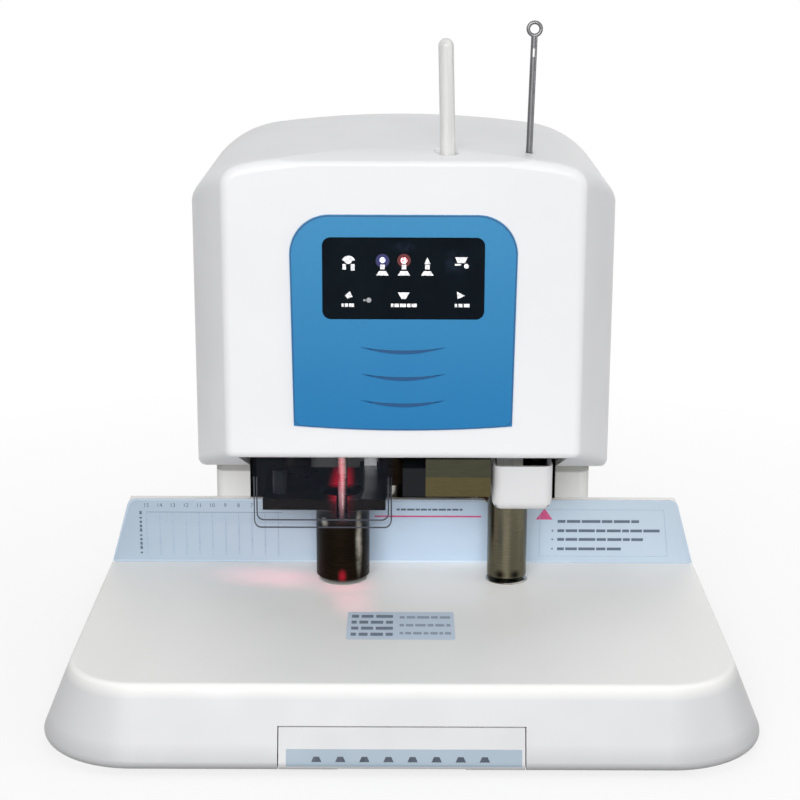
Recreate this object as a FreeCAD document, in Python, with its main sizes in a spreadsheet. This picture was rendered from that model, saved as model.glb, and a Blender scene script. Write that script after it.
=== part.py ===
import FreeCAD, Part
import math
import os
import Sketcher

# Electric document riveting machine: a wide base with a paper fence, a C-shaped
# steel frame inside a neck and an overhanging head, a hollow-drill station on the
# left, a tube cutter in the middle and a heated rivet station on the right.
#
# Frame: millimetres, +Z up, -Y towards the user, origin on the desk under the
# centre of the machine's footprint.

# Driving dimensions, grouped by the piece that they belong to.
SIZES = (
    # base moulding
    ("base_side", 205.8), ("base_front", 172.8), ("base_rear", 171.606), ("foot_gap", 3),
    ("table_height", 48), ("base_corner", 33), ("table_corner", 40), ("skirt_corner", 58),
    ("side_slope", 18.6), ("front_slope", 15.8), ("rear_slope", 4.8), ("base_wall", 3),
    ("rim_thick", 10), ("rim_thick_rear", 10.3), ("rim_round", 4), ("crease_round", 3.5),
    ("hollow_corner", 36),
    # fence ridge behind the table
    ("fence_face", 38.7), ("fence_rise", 42.4), ("ridge_side_slope", 11.7),
    ("ridge_crest", 6), ("ridge_foot", 2), ("ridge_root", 9), ("fence_wall", 4.3), ("fence_corner", 6),
    ("notch_floor", 8), ("notch_corner", 4.5), ("notch_inset", 1.6),
    ("film_thick", 0.4), ("film_margin", 1.2), ("film_corner", 5),
    # neck
    ("neck_width", 240), ("neck_front", 46), ("neck_rear", 157), ("neck_wall", 3),
    ("cavity_gap", 7.5), ("cavity_rear", 150), ("neck_corner", 7), ("neck_lap", 7),
    # head hood
    ("head_front", 39), ("face_bottom", 142), ("face_width", 208), ("head_top", 323),
    ("shoulder_width", 264), ("shoulder_place", 61), ("head_rear_width", 272.5),
    ("side_bow", 229), ("head_wall", 3), ("arch_radius", 645),
    ("side_round", 60), ("head_side_width", 274), ("brow_start", 317), ("brow_end", 4),
    ("brow_radius", 90), ("cheek_low", 111), ("hood_slack", 0.3), ("shoulder_round", 12),
    ("face_round", 6), ("cheek_round", 5), ("lip_round", 3), ("head_spare", 12),
    # rear cover
    ("cover_thick", 3), ("cover_rise", 0.6), ("vent_length", 44), ("vent_height", 3.2),
    ("vent_pitch", 8), ("vent_count", 9), ("vent_place", 62), ("vent_low", 214),
    ("screw_head", 3.4), ("screw_head_rise", 1.8), ("cover_screw_side", 110), ("cover_screw_low", 66),
    ("cover_screw_mid", 150), ("cover_screw_top", 285),
    # blue control panel with its black window
    ("panel_top", 287), ("panel_side_low", 161.6), ("panel_mid_low", 158.9),
    ("panel_top_width", 131.6), ("panel_low_width", 128.6), ("panel_corner", 23),
    ("panel_thick", 2.2), ("panel_seat", 1), ("panel_slack", 0.15),
    ("window_width", 94), ("window_height", 48.2), ("window_low", 226), ("window_corner", 5),
    ("window_thick", 1), ("window_slack", 0.1), ("groove_width", 50), ("groove_sag", 2),
    ("groove_drop", 4.4), ("groove_deep", 0.9), ("groove_top", 209.4), ("groove_pitch", 16),
    ("groove_count", 3), ("port_width", 84), ("port_height", 40), ("board_thick", 1.6),
    ("board_gap", 2), ("board_width", 92), ("board_height", 56),
    # stations
    ("station_depth", 11), ("drill_side", 37.4), ("rivet_side", 65.6),
    # steel frame
    ("frame_side", 101), ("plate_thick", 3.5), ("bed_low", 30), ("bed_thick", 6),
    ("bed_front", 12), ("bridge_low", 302), ("bridge_thick", 4), ("frame_front", 15),
    ("frame_throat", 50), ("frame_rear", 138), ("frame_rear_thick", 3),
    ("frame_arm_low", 150), ("frame_arm_slope", 118), ("post_radius", 6), ("post_side", 90),
    ("centre_plate_side", 16), ("centre_plate_front", 74), ("bracket_side", 34),
    ("bracket_side_right", 78), ("bracket_margin", 20), ("arm_drop", 14), ("frame_play", 1),
    ("bridge_window", 76), ("rear_window_width", 60), ("rear_window_height", 90),
    ("rear_window_low", 70),
    # guide rods
    ("rod_radius", 4), ("rod_place", 50), ("drill_rod_spread", 61), ("rivet_rod_spread", 40),
    ("bush_radius", 7.5), ("bush_slide", 0.05), ("boss_wall", 1.5),
    # drill press foot
    ("foot_rise", 2.7), ("foot_radius", 16.65), ("foot_bore", 13.5), ("foot_floor", 4),
    ("foot_hole", 4.5), ("foot_plate_low", 99), ("foot_plate_thick", 7),
    ("foot_fillet", 6), ("foot_edge", 1), ("foot_plate_left", 86), ("foot_plate_right", 10.5),
    ("foot_plate_front", 9), ("foot_plate_rear", 58), ("foot_boss_height", 22),
    ("slot_width", 7), ("slot_low", 91.5), ("tab_side", 3),
    # drill carriage and spindle
    ("carriage_low", 212), ("carriage_thick", 24), ("carriage_left", 80),
    ("carriage_front", 12), ("carriage_rear", 60), ("seat_left", 91), ("seat_right", 37),
    ("seat_rear", 134), ("nose_radius", 18), ("nose_length", 14), ("bearing_radius", 14),
    ("bearing_thick", 8), ("spindle_radius", 6), ("spindle_bore", 3.4), ("chuck_radius", 11),
    ("chuck_low", 155), ("chuck_height", 30), ("bit_radius", 3), ("bit_bore", 2.3),
    ("bit_tip", 85), ("shank_radius", 4.5), ("shank_length", 18), ("pulley_low", 238),
    ("pulley_height", 11), ("pulley_flange", 1.2), ("spindle_pulley", 14),
    ("motor_pulley", 10), ("belt_thick", 1.5), ("belt_gap", 0.3), ("flange_proud", 1.2),
    ("motor_place", 106), ("motor_side", 62), ("motor_radius", 25), ("motor_height", 62),
    ("motor_shaft", 3), ("motor_edge", 3), ("shaft_seat", 9), ("motor_vent_count", 12),
    ("running_gap", 0.3),
    # racks and pinions
    ("gear_module", 1.5), ("gear_teeth", 18), ("gear_width", 8), ("gear_backlash", 0.3),
    ("pressure_angle", 20), ("rack_back", 62), ("rack_pitch_line", 70), ("drill_rack_side", 7),
    ("foot_rack_side", 21), ("rivet_rack_side", 65), ("press_shaft_height", 170),
    ("shaft_spacing", 35), ("shaft_radius", 4), ("press_travel", 50), ("feed_down", 36.5),
    ("shaft_slack", 0.06), ("hub_radius", 7),
    # gear motors
    ("gearbox_radius", 20), ("gearbox_thick", 17), ("can_radius", 13), ("can_length", 56),
    ("can_offset", 14),
    # rivet press foot, cover and ram
    ("rivet_radius", 12.4), ("rivet_bore", 7.4), ("rivet_plate_low", 118),
    ("rivet_plate_thick", 8), ("rivet_plate_left", 56.1), ("rivet_plate_right", 88.3),
    ("rivet_plate_front", 27), ("rivet_boss_height", 26), ("cover_rear", 5),
    ("cover_bottom", 105.2), ("cover_top", 133.4), ("cover_wall", 2), ("cover_round", 6),
    ("ram_radius", 7), ("ram_tip_radius", 4), ("ram_tip", 53.5), ("ram_tip_length", 14),
    ("ram_top", 150), ("collar_radius", 13), ("collar_thick", 4), ("spring_radius", 8.2),
    ("spring_wire", 1.5), ("spring_turns", 4), ("strap_thick", 2), ("strap_width", 16),
    ("solenoid_low", 162), ("solenoid_height", 34), ("solenoid_width", 28), ("ram_stroke", 4),
    # dies under the table
    ("pad_radius", 15), ("pad_thick", 9), ("pad_gap", 0.3), ("cup_wall", 4), ("cup_height", 8),
    ("die_radius", 13), ("die_rise", 0.8), ("die_thick", 7), ("die_nub", 2.6),
    ("die_nub_rise", 1.2), ("heater_radius", 17),
    # tube station
    ("tube_side", 25.3), ("tube_place", 24), ("tube_radius", 4.4), ("tube_bore", 3),
    ("tube_top", 386), ("tube_lean", 1.5), ("guide_radius", 6.5), ("guide_low", 166),
    ("guide_slack", 0.5), ("funnel_radius", 11), ("funnel_deep", 3.5), ("cutter_left", 13.7),
    ("cutter_right", 52.6), ("cutter_front", 34), ("cutter_rear", 12), ("cutter_low", 116),
    ("cutter_thick", 12), ("blade_thick", 1), ("blade_gap", 0.15), ("block_thick", 10),
    ("blade_width", 14), ("blade_edge", 3), ("actuator_low", 116), ("actuator_height", 17.6),
    ("actuator_rear", 26), ("arm_width", 6),
    ("roller_height", 152), ("roller_radius", 7), ("roller_width", 12), ("roller_gap", 0.1),
    ("roller_shaft", 2), ("cheek_thick", 3), ("feed_motor_radius", 10), ("feed_motor_length", 26),
    # cleaning rod
    ("needle_side", 73.5), ("needle_place", 6), ("needle_radius", 1.9), ("needle_lean", 1.4),
    ("needle_ring", 390), ("ring_radius", 3.7), ("ring_wire", 1.1), ("needle_low", 268),
    ("holder_radius", 4), ("holder_low", 262), ("holder_drop", 4.6), ("holder_slack", 0.4),
    ("eye_height", 379), ("eye_length", 5),
    # clear drill guard
    ("guard_left", 90.5), ("guard_right", 6), ("guard_front", 28), ("guard_rear", 40),
    ("guard_low", 93.7), ("guard_top", 150), ("guard_wall", 2), ("guard_shelf", 3),
    ("guard_round", 4), ("guard_foot_gap", 1.7), ("guard_flange_inset", 10),
    # laser pointer on the foot plate
    ("laser_side", 76), ("laser_place", 4), ("laser_radius", 4.5), ("laser_length", 22),
    # drawer
    ("drawer_width", 134.4), ("drawer_gap", 0.6), ("drawer_top", 26.3), ("drawer_low", 5.3),
    ("drawer_box_rear", 60), ("drawer_wall", 1.8), ("drawer_box_width", 126),
    ("drawer_box_top", 23), ("drawer_front_thick", 4), ("grip_width", 70), ("grip_deep", 12),
    ("grip_height", 1.4),
    # bottom plate, feet, posts
    ("bottom_thick", 2), ("bottom_step", 1), ("rubber_radius", 11), ("rubber_side", 150),
    ("rubber_front", 125), ("rubber_rear", 130), ("rubber_step", 2),
    # rear sockets and switch
    ("port_left", 40), ("port_right", 120), ("port_low", 10), ("port_top", 40),
    ("backing_thick", 2), ("backing_lap", 3), ("inlet_side", 62), ("inlet_width", 27),
    ("inlet_height", 20), ("inlet_middle", 25), ("inlet_deep", 14), ("inlet_flange", 2),
    ("inlet_rim", 2), ("socket_deep", 11.5), ("pin_width", 4), ("pin_thick", 2),
    ("pin_spread", 7), ("pin_drop", 3), ("pin_rise", 4),
    ("switch_side", 100), ("switch_width", 14), ("switch_height", 20), ("switch_wall", 1.5),
    ("rocker_throw", 8), ("rocker_crest", 2.5), ("rocker_gap", 0.4),
    # electronics
    ("main_board_width", 156), ("main_board_height", 130), ("main_board_low", 100),
    ("main_board_place", 148), ("standoff_radius", 3), ("core_width", 46), ("core_depth", 34),
    ("core_height", 50), ("winding_proud", 8), ("core_side", 68), ("core_place", 96),
)

doc = FreeCAD.newDocument("DocumentRivetingMachine")


class Size:
    """A length of the machine: its number, and the spreadsheet expression behind it."""

    def __init__(self, value, text):
        self.value = value
        self.text = text

    def combine(self, sign, other, value):
        return Size(value, f"({self.text} {sign} {other.text})")

    def __add__(self, other):
        other = as_size(other)
        return self.combine("+", other, self.value + other.value)

    def __sub__(self, other):
        other = as_size(other)
        return self.combine("-", other, self.value - other.value)

    def __mul__(self, other):
        other = as_size(other)
        return self.combine("*", other, self.value * other.value)

    def __truediv__(self, other):
        other = as_size(other)
        return self.combine("/", other, self.value / other.value)

    def __radd__(self, other):
        return as_size(other) + self

    def __rsub__(self, other):
        return as_size(other) - self

    def __rmul__(self, other):
        return as_size(other) * self

    def __neg__(self):
        return Size(-self.value, f"(-{self.text})")


def as_size(number):
    """A plain number as a Size; a Size stays what it is."""
    return number if isinstance(number, Size) else Size(float(number), repr(float(number)))


def tangent(angle):
    """The tangent of an angle given in degrees."""
    return Size(math.tan(math.radians(angle.value)), f"tan({angle.text} * 1deg)")


class Sheet:
    """The spreadsheet of driving dimensions; each alias is also an attribute here."""

    def __init__(self, rows):
        self.cells = doc.addObject("Spreadsheet::Sheet", "Sizes")
        for row, (alias, value) in enumerate(rows, start=1):
            self.cells.set(f"A{row}", alias)
            self.cells.set(f"B{row}", str(value))
            self.cells.setAlias(f"B{row}", alias)
            setattr(self, alias, Size(value, f"Sizes.{alias}"))
        doc.recompute()


S = Sheet(SIZES)
SUB_PARTS = []


# ---------------------------------------------------------------- shared helpers

def bind(feature, name, size):
    """Drive one property of a feature from the sheet."""
    feature.setExpression(name, as_size(size).text)


def place(feature, x, y, z):
    """Drive a feature's position from the sheet."""
    for letter, size in zip("xyz", (x, y, z)):
        bind(feature, f".Placement.Base.{letter}", size)


def sub_part(feature, label):
    """Name a finished sub-part."""
    feature.Label = label
    SUB_PARTS.append(feature)
    return feature


def box(name, x, y, z):
    """A block between the low and high coordinates given for each axis."""
    block = doc.addObject("Part::Box", name)
    bind(block, "Length", x[1] - x[0])
    bind(block, "Width", y[1] - y[0])
    bind(block, "Height", z[1] - z[0])
    place(block, x[0], y[0], z[0])
    return block


TURNS = {
    "x": FreeCAD.Rotation(FreeCAD.Vector(0, 1, 0), 90),
    "y": FreeCAD.Rotation(FreeCAD.Vector(1, 0, 0), -90),
    "z": FreeCAD.Rotation(),
}


def cylinder(name, radius, low, high, centre, axis="z"):
    """A round bar from low to high along an axis; centre is its place on the other two."""
    bar = doc.addObject("Part::Cylinder", name)
    bar.Placement = FreeCAD.Placement(FreeCAD.Vector(), TURNS[axis])
    bind(bar, "Radius", radius)
    bind(bar, "Height", high - low)
    spots = {"x": (low, *centre), "y": (centre[0], low, centre[1]), "z": (*centre, low)}
    place(bar, *(as_size(spot) for spot in spots[axis]))
    return bar


def lean(feature, angle):
    """Tilt a vertical feature in the X-Z plane by a signed angle (towards +X is positive)."""
    feature.Placement.Rotation = FreeCAD.Rotation(FreeCAD.Vector(0, 1, 0), angle.value)
    bind(feature, ".Placement.Rotation.Angle", angle)
    return feature


def fuse(name, *pieces):
    """Join solids into one."""
    union = doc.addObject("Part::MultiFuse", name)
    union.Shapes = list(pieces)
    union.Refine = True
    return union


def common(name, *pieces):
    """Keep what all the solids share."""
    shared = doc.addObject("Part::MultiCommon", name)
    shared.Shapes = list(pieces)
    return shared


def cut(name, base, *tools):
    """Take one or more solids away from a base."""
    difference = doc.addObject("Part::Cut", name)
    difference.Base = base
    difference.Tool = tools[0] if len(tools) == 1 else fuse(name + "_tools", *tools)
    return difference


def group(name, *pieces):
    """Separate solids that share one node, such as a set of screws."""
    bundle = doc.addObject("Part::Compound", name)
    bundle.Links = list(pieces)
    return bundle


def rounded(name, base, radius, chosen):
    """Round the edges for which chosen(edge) is true."""
    doc.recompute()
    feature = doc.addObject("Part::Fillet", name)
    feature.Base = base
    picks = [index for index, edge in enumerate(base.Shape.Edges, start=1) if chosen(edge)]
    feature.Edges = [(index, radius.value, radius.value) for index in picks]
    return feature


def near(number, size, slack=0.05):
    """Whether a measured coordinate lies at a size."""
    return abs(number - as_size(size).value) < slack


def along(edge, axis):
    """Whether an edge is a straight run parallel to an axis."""
    if edge.Curve.TypeId != "Part::GeomLine":
        return False
    direction = edge.Curve.Direction
    return abs(getattr(direction, axis)) > 0.999


def new_body(name):
    return doc.addObject("PartDesign::Body", name)


def new_sketch(body, plane, name, offset=0):
    """A sketch on one of the body's origin planes, moved along its normal by offset."""
    sketch = body.newObject("Sketcher::SketchObject", name)
    for feature in body.Origin.OriginFeatures:
        if feature.Role == plane:
            sketch.AttachmentSupport = (feature, "")
    sketch.MapMode = "FlatFace"
    bind(sketch, ".AttachmentOffset.Base.z", offset)
    return sketch


def level_sketch(name, height):
    """A level sketch at a height, outside any body."""
    sketch = doc.addObject("Sketcher::SketchObject", name)
    bind(sketch, ".Placement.Base.z", height)
    return sketch


def arc_between(start, end, radius):
    """An arc of a signed radius; positive bulges to the right of the way start to end."""
    span = (end - start).Length
    middle = (start + end) * 0.5
    across = FreeCAD.Vector(end.y - start.y, start.x - end.x, 0) * (1.0 / span)
    size = abs(radius)
    sag = size - math.sqrt(max(size * size - span * span / 4, 0))
    crown = middle + across * math.copysign(sag, radius)
    return Part.Arc(start, crown, end)


def profile(sketch, points, arcs=None):
    """A closed outline: each corner is held by the sheet, and arcs[i] is the signed
    radius of the run that leaves corner i."""
    arcs = arcs or {}
    first = sketch.GeometryCount
    count = len(points)
    spots = [FreeCAD.Vector(as_size(x).value, as_size(y).value, 0) for x, y in points]
    starts = []
    for index in range(count):
        start, end = spots[index], spots[(index + 1) % count]
        if index not in arcs:
            sketch.addGeometry(Part.LineSegment(start, end), False)
            starts.append((1, 2))
            continue
        curve = arc_between(start, end, arcs[index].value)
        number = sketch.addGeometry(curve, False)
        kept = sketch.getPoint(number, 1)
        starts.append((1, 2) if (kept - start).Length < 1e-6 else (2, 1))
    for index in range(count):
        following = (index + 1) % count
        sketch.addConstraint(Sketcher.Constraint(
            "Coincident", first + index, starts[index][1], first + following, starts[following][0]))
    for index, (x, y) in enumerate(points):
        hold(sketch, "DistanceX", first + index, starts[index][0], x)
        hold(sketch, "DistanceY", first + index, starts[index][0], y)
    for index, radius in arcs.items():
        number = sketch.addConstraint(
            Sketcher.Constraint("Radius", first + index, abs(radius.value)))
        text = radius.text if radius.value > 0 else (-radius).text
        sketch.setExpression(f"Constraints[{number}]", text)


def hold(sketch, kind, geometry, point, size):
    """Hold one coordinate of a sketch point at a size, measured from the origin."""
    size = as_size(size)
    number = sketch.addConstraint(Sketcher.Constraint(kind, -1, 1, geometry, point, size.value))
    sketch.setExpression(f"Constraints[{number}]", size.text)


def circle(sketch, x, y, radius):
    """A circle whose centre and radius are held by the sheet."""
    x, y = as_size(x), as_size(y)
    centre = FreeCAD.Vector(x.value, y.value, 0)
    number = sketch.addGeometry(Part.Circle(centre, FreeCAD.Vector(0, 0, 1), radius.value), False)
    hold(sketch, "DistanceX", number, 3, x)
    hold(sketch, "DistanceY", number, 3, y)
    limit = sketch.addConstraint(Sketcher.Constraint("Radius", number, radius.value))
    sketch.setExpression(f"Constraints[{limit}]", radius.text)


def rounded_outline(sketch, x, y, near_radius, far_radius):
    """A rectangle with rounded corners, one radius at low y and one at high y."""
    points = [
        (x[0] + near_radius, y[0]), (x[1] - near_radius, y[0]),
        (x[1], y[0] + near_radius), (x[1], y[1] - far_radius),
        (x[1] - far_radius, y[1]), (x[0] + far_radius, y[1]),
        (x[0], y[1] - far_radius), (x[0], y[0] + near_radius),
    ]
    profile(sketch, points, {1: near_radius, 3: far_radius, 5: far_radius, 7: near_radius})


def pad(body, sketch, length, away=False):
    """Raise a sketch by a length; away turns it against the sketch's normal."""
    feature = body.newObject("PartDesign::Pad", sketch.Name + "_pad")
    feature.Profile = sketch
    bind(feature, "Length", length)
    feature.Reversed = away
    return feature


def pocket(body, sketch, depth, away=False):
    """Sink a sketch into the body, and make sure that it removed material."""
    doc.recompute()
    before = body.Shape.Volume
    feature = body.newObject("PartDesign::Pocket", sketch.Name + "_pocket")
    feature.Profile = sketch
    bind(feature, "Length", depth)
    feature.Reversed = away
    doc.recompute()
    if body.Shape.Volume >= before:
        raise RuntimeError(f"{sketch.Name} removes nothing")
    return feature


def revolve(body, sketch, axis="V_Axis"):
    """Turn a sketch once round its own vertical axis."""
    feature = body.newObject("PartDesign::Revolution", sketch.Name + "_turn")
    feature.Profile = sketch
    feature.ReferenceAxis = (sketch, [axis])
    feature.Angle = 360
    return feature


def turned(name, points, arcs=None):
    """A turned piece: its half section as (radius, height) corners round the Z axis."""
    body = new_body(name)
    sketch = new_sketch(body, "XZ_Plane", name + "_section")
    profile(sketch, points, arcs)
    revolve(body, sketch)
    return body


def feature_from(name, shape):
    """A shape made with Part's own functions, kept as an object of the document."""
    feature = doc.addObject("Part::Feature", name)
    feature.Shape = shape
    return feature


# ---------------------------------------------------------------- shared places

DRILL_X = -S.drill_side
RIVET_X = S.rivet_side
STATION_Y = S.station_depth
TABLE = S.table_height
FENCE_TOP = S.table_height + S.fence_rise
FOOT_LOW = S.table_height + S.foot_rise
BED_TOP = S.bed_low + S.bed_thick
CAVITY_HALF = S.guard_left + S.cavity_gap
NOTCH_REACH = S.rivet_side + S.rivet_radius
FEED_SHAFT_Z = S.press_shaft_height + S.shaft_spacing
BACKING_Y = S.base_rear - S.rim_thick_rear
DRAWER_FACE_REAR = S.front_slope + S.drawer_front_thick - S.base_front
DRILL_RODS = (DRILL_X - S.drill_rod_spread / 2, DRILL_X + S.drill_rod_spread / 2)
RIVET_RODS = (RIVET_X - S.rivet_rod_spread / 2, RIVET_X + S.rivet_rod_spread / 2)
SLIDE_RADIUS = S.rod_radius + S.bush_slide
BOSS_RADIUS = S.bush_radius + S.boss_wall
PITCH_RADIUS = S.gear_module * S.gear_teeth / 2
SHAFT_Y = S.rack_pitch_line + PITCH_RADIUS
TUBE_SLOPE = tangent(S.tube_lean)
NEEDLE_SLOPE = tangent(S.needle_lean)


def tube_x(height):
    """Where the leaning rivet tube is at a height, measured from the head's top."""
    return S.tube_side + (S.head_top - height) * TUBE_SLOPE


def needle_x(height):
    """Where the leaning cleaning rod is at a height."""
    return S.needle_side - (S.head_top - height) * NEEDLE_SLOPE


# ---------------------------------------------------------------- base

def base_block(name, side, front, rear, low, high, flare, corner):
    """A block with four leaning walls: half-width, front and rear place at the low end,
    each wall's run inwards up to the high end (flare), and the corners' radius."""
    wide = new_body(name + "_wide")
    outline = new_sketch(wide, "XZ_Plane", name + "_front_view", -front)
    profile(outline, [(-side, low), (side, low), (side - flare[0], high), (flare[0] - side, high)])
    pad(wide, outline, rear - front, away=True)
    deep = new_body(name + "_deep")
    flank = new_sketch(deep, "YZ_Plane", name + "_side_view", -side)
    profile(flank, [(front, low), (rear, low), (rear - flare[2], high), (front + flare[1], high)])
    pad(deep, flank, side * 2)
    block = common(name + "_block", wide, deep)
    return rounded(name + "_corners", block, corner,
                   lambda edge: edge.BoundBox.ZLength > (high - low).value - 0.5)


def fence_ridge(name, inset):
    """The ridge behind the table less an inset: an upright fence in front and a falling
    deck behind, rounded in plan like the base's rear corners."""
    body = new_body(name)
    side = S.base_side - S.side_slope - inset
    front = S.fence_face if inset.value == 0 else S.fence_face + S.fence_wall
    top = FENCE_TOP - inset
    root = TABLE - S.ridge_root
    outline = new_sketch(body, "XZ_Plane", name + "_front", -front)
    profile(outline, [
        (-side, root), (side, root), (side, TABLE),
        (side - S.ridge_side_slope, top), (S.ridge_side_slope - side, top),
        (-side, TABLE)])
    rear = S.base_rear - S.rear_slope - inset
    pad(body, outline, rear - front, away=True)
    fall = new_sketch(body, "YZ_Plane", name + "_fall", -side)
    profile(fall, [
        (S.fence_face + S.ridge_crest, top), (rear, TABLE + S.ridge_foot - inset),
        (rear + S.ridge_crest, top + S.ridge_crest),
        (S.fence_face + S.ridge_crest, top + S.ridge_crest)])
    pocket(body, fall, side * 2, away=True)
    plan = new_body(name + "_plan")
    rim = new_sketch(plan, "XY_Plane", name + "_plan_outline", root)
    corner = S.base_corner - inset
    profile(rim, [
        (-side, front), (side, front), (side, rear - corner), (side - corner, rear),
        (corner - side, rear), (-side, rear - corner)], {2: corner, 4: corner})
    pad(plan, rim, top - root)
    return common(name + "_form", body, plan)


def deck_height(y):
    """The height of the deck that falls from the fence's crest to the rear wall."""
    rear = S.base_rear - S.rear_slope
    run = rear - S.fence_face - S.ridge_crest
    return TABLE + S.ridge_foot + (rear - y) * (S.fence_rise - S.ridge_foot) / run


def notch(name, centre, radius, y, low, high):
    """The opening in the fence behind a press foot."""
    half = radius - S.notch_inset
    return box(name, (centre - half, centre + half), y, (low, high))


def base_shell(outer):
    wall = S.base_wall
    hollow = base_block(
        "hollow", S.base_side - S.rim_thick, S.rim_thick - S.base_front,
        S.base_rear - S.rim_thick_rear, S.foot_gap, TABLE - wall,
        (S.side_slope + wall - S.rim_thick, S.front_slope + wall - S.rim_thick, as_size(0)),
        S.hollow_corner)
    ridge = fence_ridge("ridge", as_size(0))
    ridge_soft = rounded(
        "ridge_soft", ridge, S.fence_corner,
        lambda edge: near(edge.BoundBox.ZMin, FENCE_TOP) and along(edge, "y"))
    ridge_room = fence_ridge("ridge_room", wall)
    full = fuse("base_full", outer, ridge_soft)
    side = CAVITY_HALF
    well_z = (TABLE - wall - 1, FENCE_TOP + 1)
    well = box("neck_well", (-side, side), (S.fence_face + S.fence_wall, S.cavity_rear), well_z)
    plates = S.frame_side + S.plate_thick + S.frame_play
    frame_well = box("frame_well", (-plates, plates), (S.frame_throat - S.frame_play / 2,
                     S.cavity_rear), well_z)
    notch_y = (S.fence_face - 1, S.fence_face + S.fence_wall + 1)
    notch_z = (TABLE + S.notch_floor, FENCE_TOP + 1)
    left = notch("drill_notch", DRILL_X, S.foot_radius, notch_y, *notch_z)
    right = notch("rivet_notch", RIVET_X, S.rivet_radius, notch_y, *notch_z)
    pad_hole = cylinder("pad_hole", S.pad_radius + S.pad_gap, TABLE - S.ridge_root, TABLE + 1,
                        (DRILL_X, STATION_Y))
    die_hole = cylinder("die_hole", S.die_radius + S.pad_gap, TABLE - S.ridge_root, TABLE + 1,
                        (RIVET_X, STATION_Y))
    drawer_half = S.drawer_width / 2 + S.drawer_gap
    drawer_hole = box("drawer_hole", (-drawer_half, drawer_half),
                      (-S.base_front - 1, -S.drawer_box_rear),
                      (S.foot_gap - 1, S.drawer_top + S.drawer_gap))
    rear_hole = box("rear_hole", (S.port_left, S.port_right),
                    (BACKING_Y, S.base_rear + 1), (S.port_low, S.port_top))
    shell = cut("base_cut", full, hollow, ridge_room, well, frame_well, left, right, pad_hole,
                die_hole, drawer_hole, rear_hole)

    def fence_corner(edge):
        box_of = edge.BoundBox
        return (along(edge, "y") and near(box_of.ZMin, FENCE_TOP)
                and near(box_of.YLength, S.fence_wall)
                and abs(box_of.XMin) < NOTCH_REACH.value)

    return sub_part(rounded("base_notches", shell, S.notch_corner, fence_corner), "base_shell")


def base_outer():
    """The base's outer form, which the shell and the drawer front share: a loft from the
    wide corners at the desk to the tighter ones of the table."""
    low = level_sketch("base_desk_outline", S.foot_gap)
    rounded_outline(low, (-S.base_side, S.base_side), (-S.base_front, S.base_rear),
                    S.skirt_corner, S.base_corner)
    high = level_sketch("base_table_outline", TABLE)
    half = S.base_side - S.side_slope
    rounded_outline(high, (-half, half), (S.front_slope - S.base_front, S.base_rear - S.rear_slope),
                    S.table_corner, S.base_corner)
    skirt = doc.addObject("Part::Loft", "base_skirt")
    skirt.Sections = [low, high]
    skirt.Solid = True
    skirt.Ruled = True
    creased = rounded("base_creased", skirt, S.crease_round,
                      lambda edge: near(edge.BoundBox.ZMin, TABLE))
    return rounded("base_form", creased, S.rim_round,
                   lambda edge: near(edge.BoundBox.ZMax, S.foot_gap))


def bottom_plate():
    body = new_body("bottom")
    half = S.base_side - S.rim_thick - S.bottom_step
    sketch = new_sketch(body, "XY_Plane", "bottom_outline", S.foot_gap)
    rounded_outline(sketch, (-half, half),
                    (S.rim_thick + S.bottom_step - S.base_front, BACKING_Y),
                    S.hollow_corner, S.hollow_corner)
    pad(body, sketch, S.bottom_thick)
    notch_half = S.drawer_width / 2 + S.drawer_gap
    drawer_notch = box("bottom_drawer_notch", (-notch_half, notch_half),
                       (-S.base_front, DRAWER_FACE_REAR + S.drawer_gap),
                       (0, S.foot_gap + S.bottom_thick + 1))
    return sub_part(cut("bottom_cut", body, drawer_notch), "bottom_plate")


def rubber_feet():
    feet = []
    for index, (x, y) in enumerate((
            (-S.rubber_side, -S.rubber_front), (S.rubber_side, -S.rubber_front),
            (-S.rubber_side, S.rubber_rear), (S.rubber_side, S.rubber_rear))):
        foot = turned(f"rubber_foot_{index}", [
            (0, 0), (S.rubber_radius - S.rubber_step, 0), (S.rubber_radius, S.rubber_step),
            (S.rubber_radius, S.foot_gap), (0, S.foot_gap)])
        place(foot, x, y, 0)
        feet.append(foot)
    return sub_part(group("feet", *feet), "rubber_feet")


def fence_film():
    """The printed scale on the fence, notched like the fence itself."""
    body = new_body("film")
    margin = S.film_margin
    low_side = S.base_side - S.side_slope - margin
    top_side = low_side - S.ridge_side_slope
    front = new_sketch(body, "XZ_Plane", "film_outline", S.film_thick - S.fence_face)
    profile(front, [(-low_side, TABLE + margin), (low_side, TABLE + margin),
                    (top_side, FENCE_TOP - margin), (-top_side, FENCE_TOP - margin)])
    pad(body, front, S.film_thick, away=True)
    notch_y = (S.fence_face - 1, S.fence_face + 1)
    notch_z = (TABLE + S.notch_floor, FENCE_TOP + 1)
    left = notch("film_drill_notch", DRILL_X, S.foot_radius, notch_y, *notch_z)
    right = notch("film_rivet_notch", RIVET_X, S.rivet_radius, notch_y, *notch_z)
    sheet = cut("film_cut", body, left, right)
    top = FENCE_TOP - margin
    inner = rounded(
        "film_inner", sheet, S.notch_corner,
        lambda edge: along(edge, "y") and near(edge.BoundBox.ZMax, top)
        and abs(edge.BoundBox.XMin) < NOTCH_REACH.value)
    outer = rounded(
        "film_outer", inner, S.film_corner,
        lambda edge: along(edge, "y") and near(edge.BoundBox.ZMax, top)
        and abs(edge.BoundBox.XMin) > NOTCH_REACH.value)
    return sub_part(outer, "fence_film")


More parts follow.
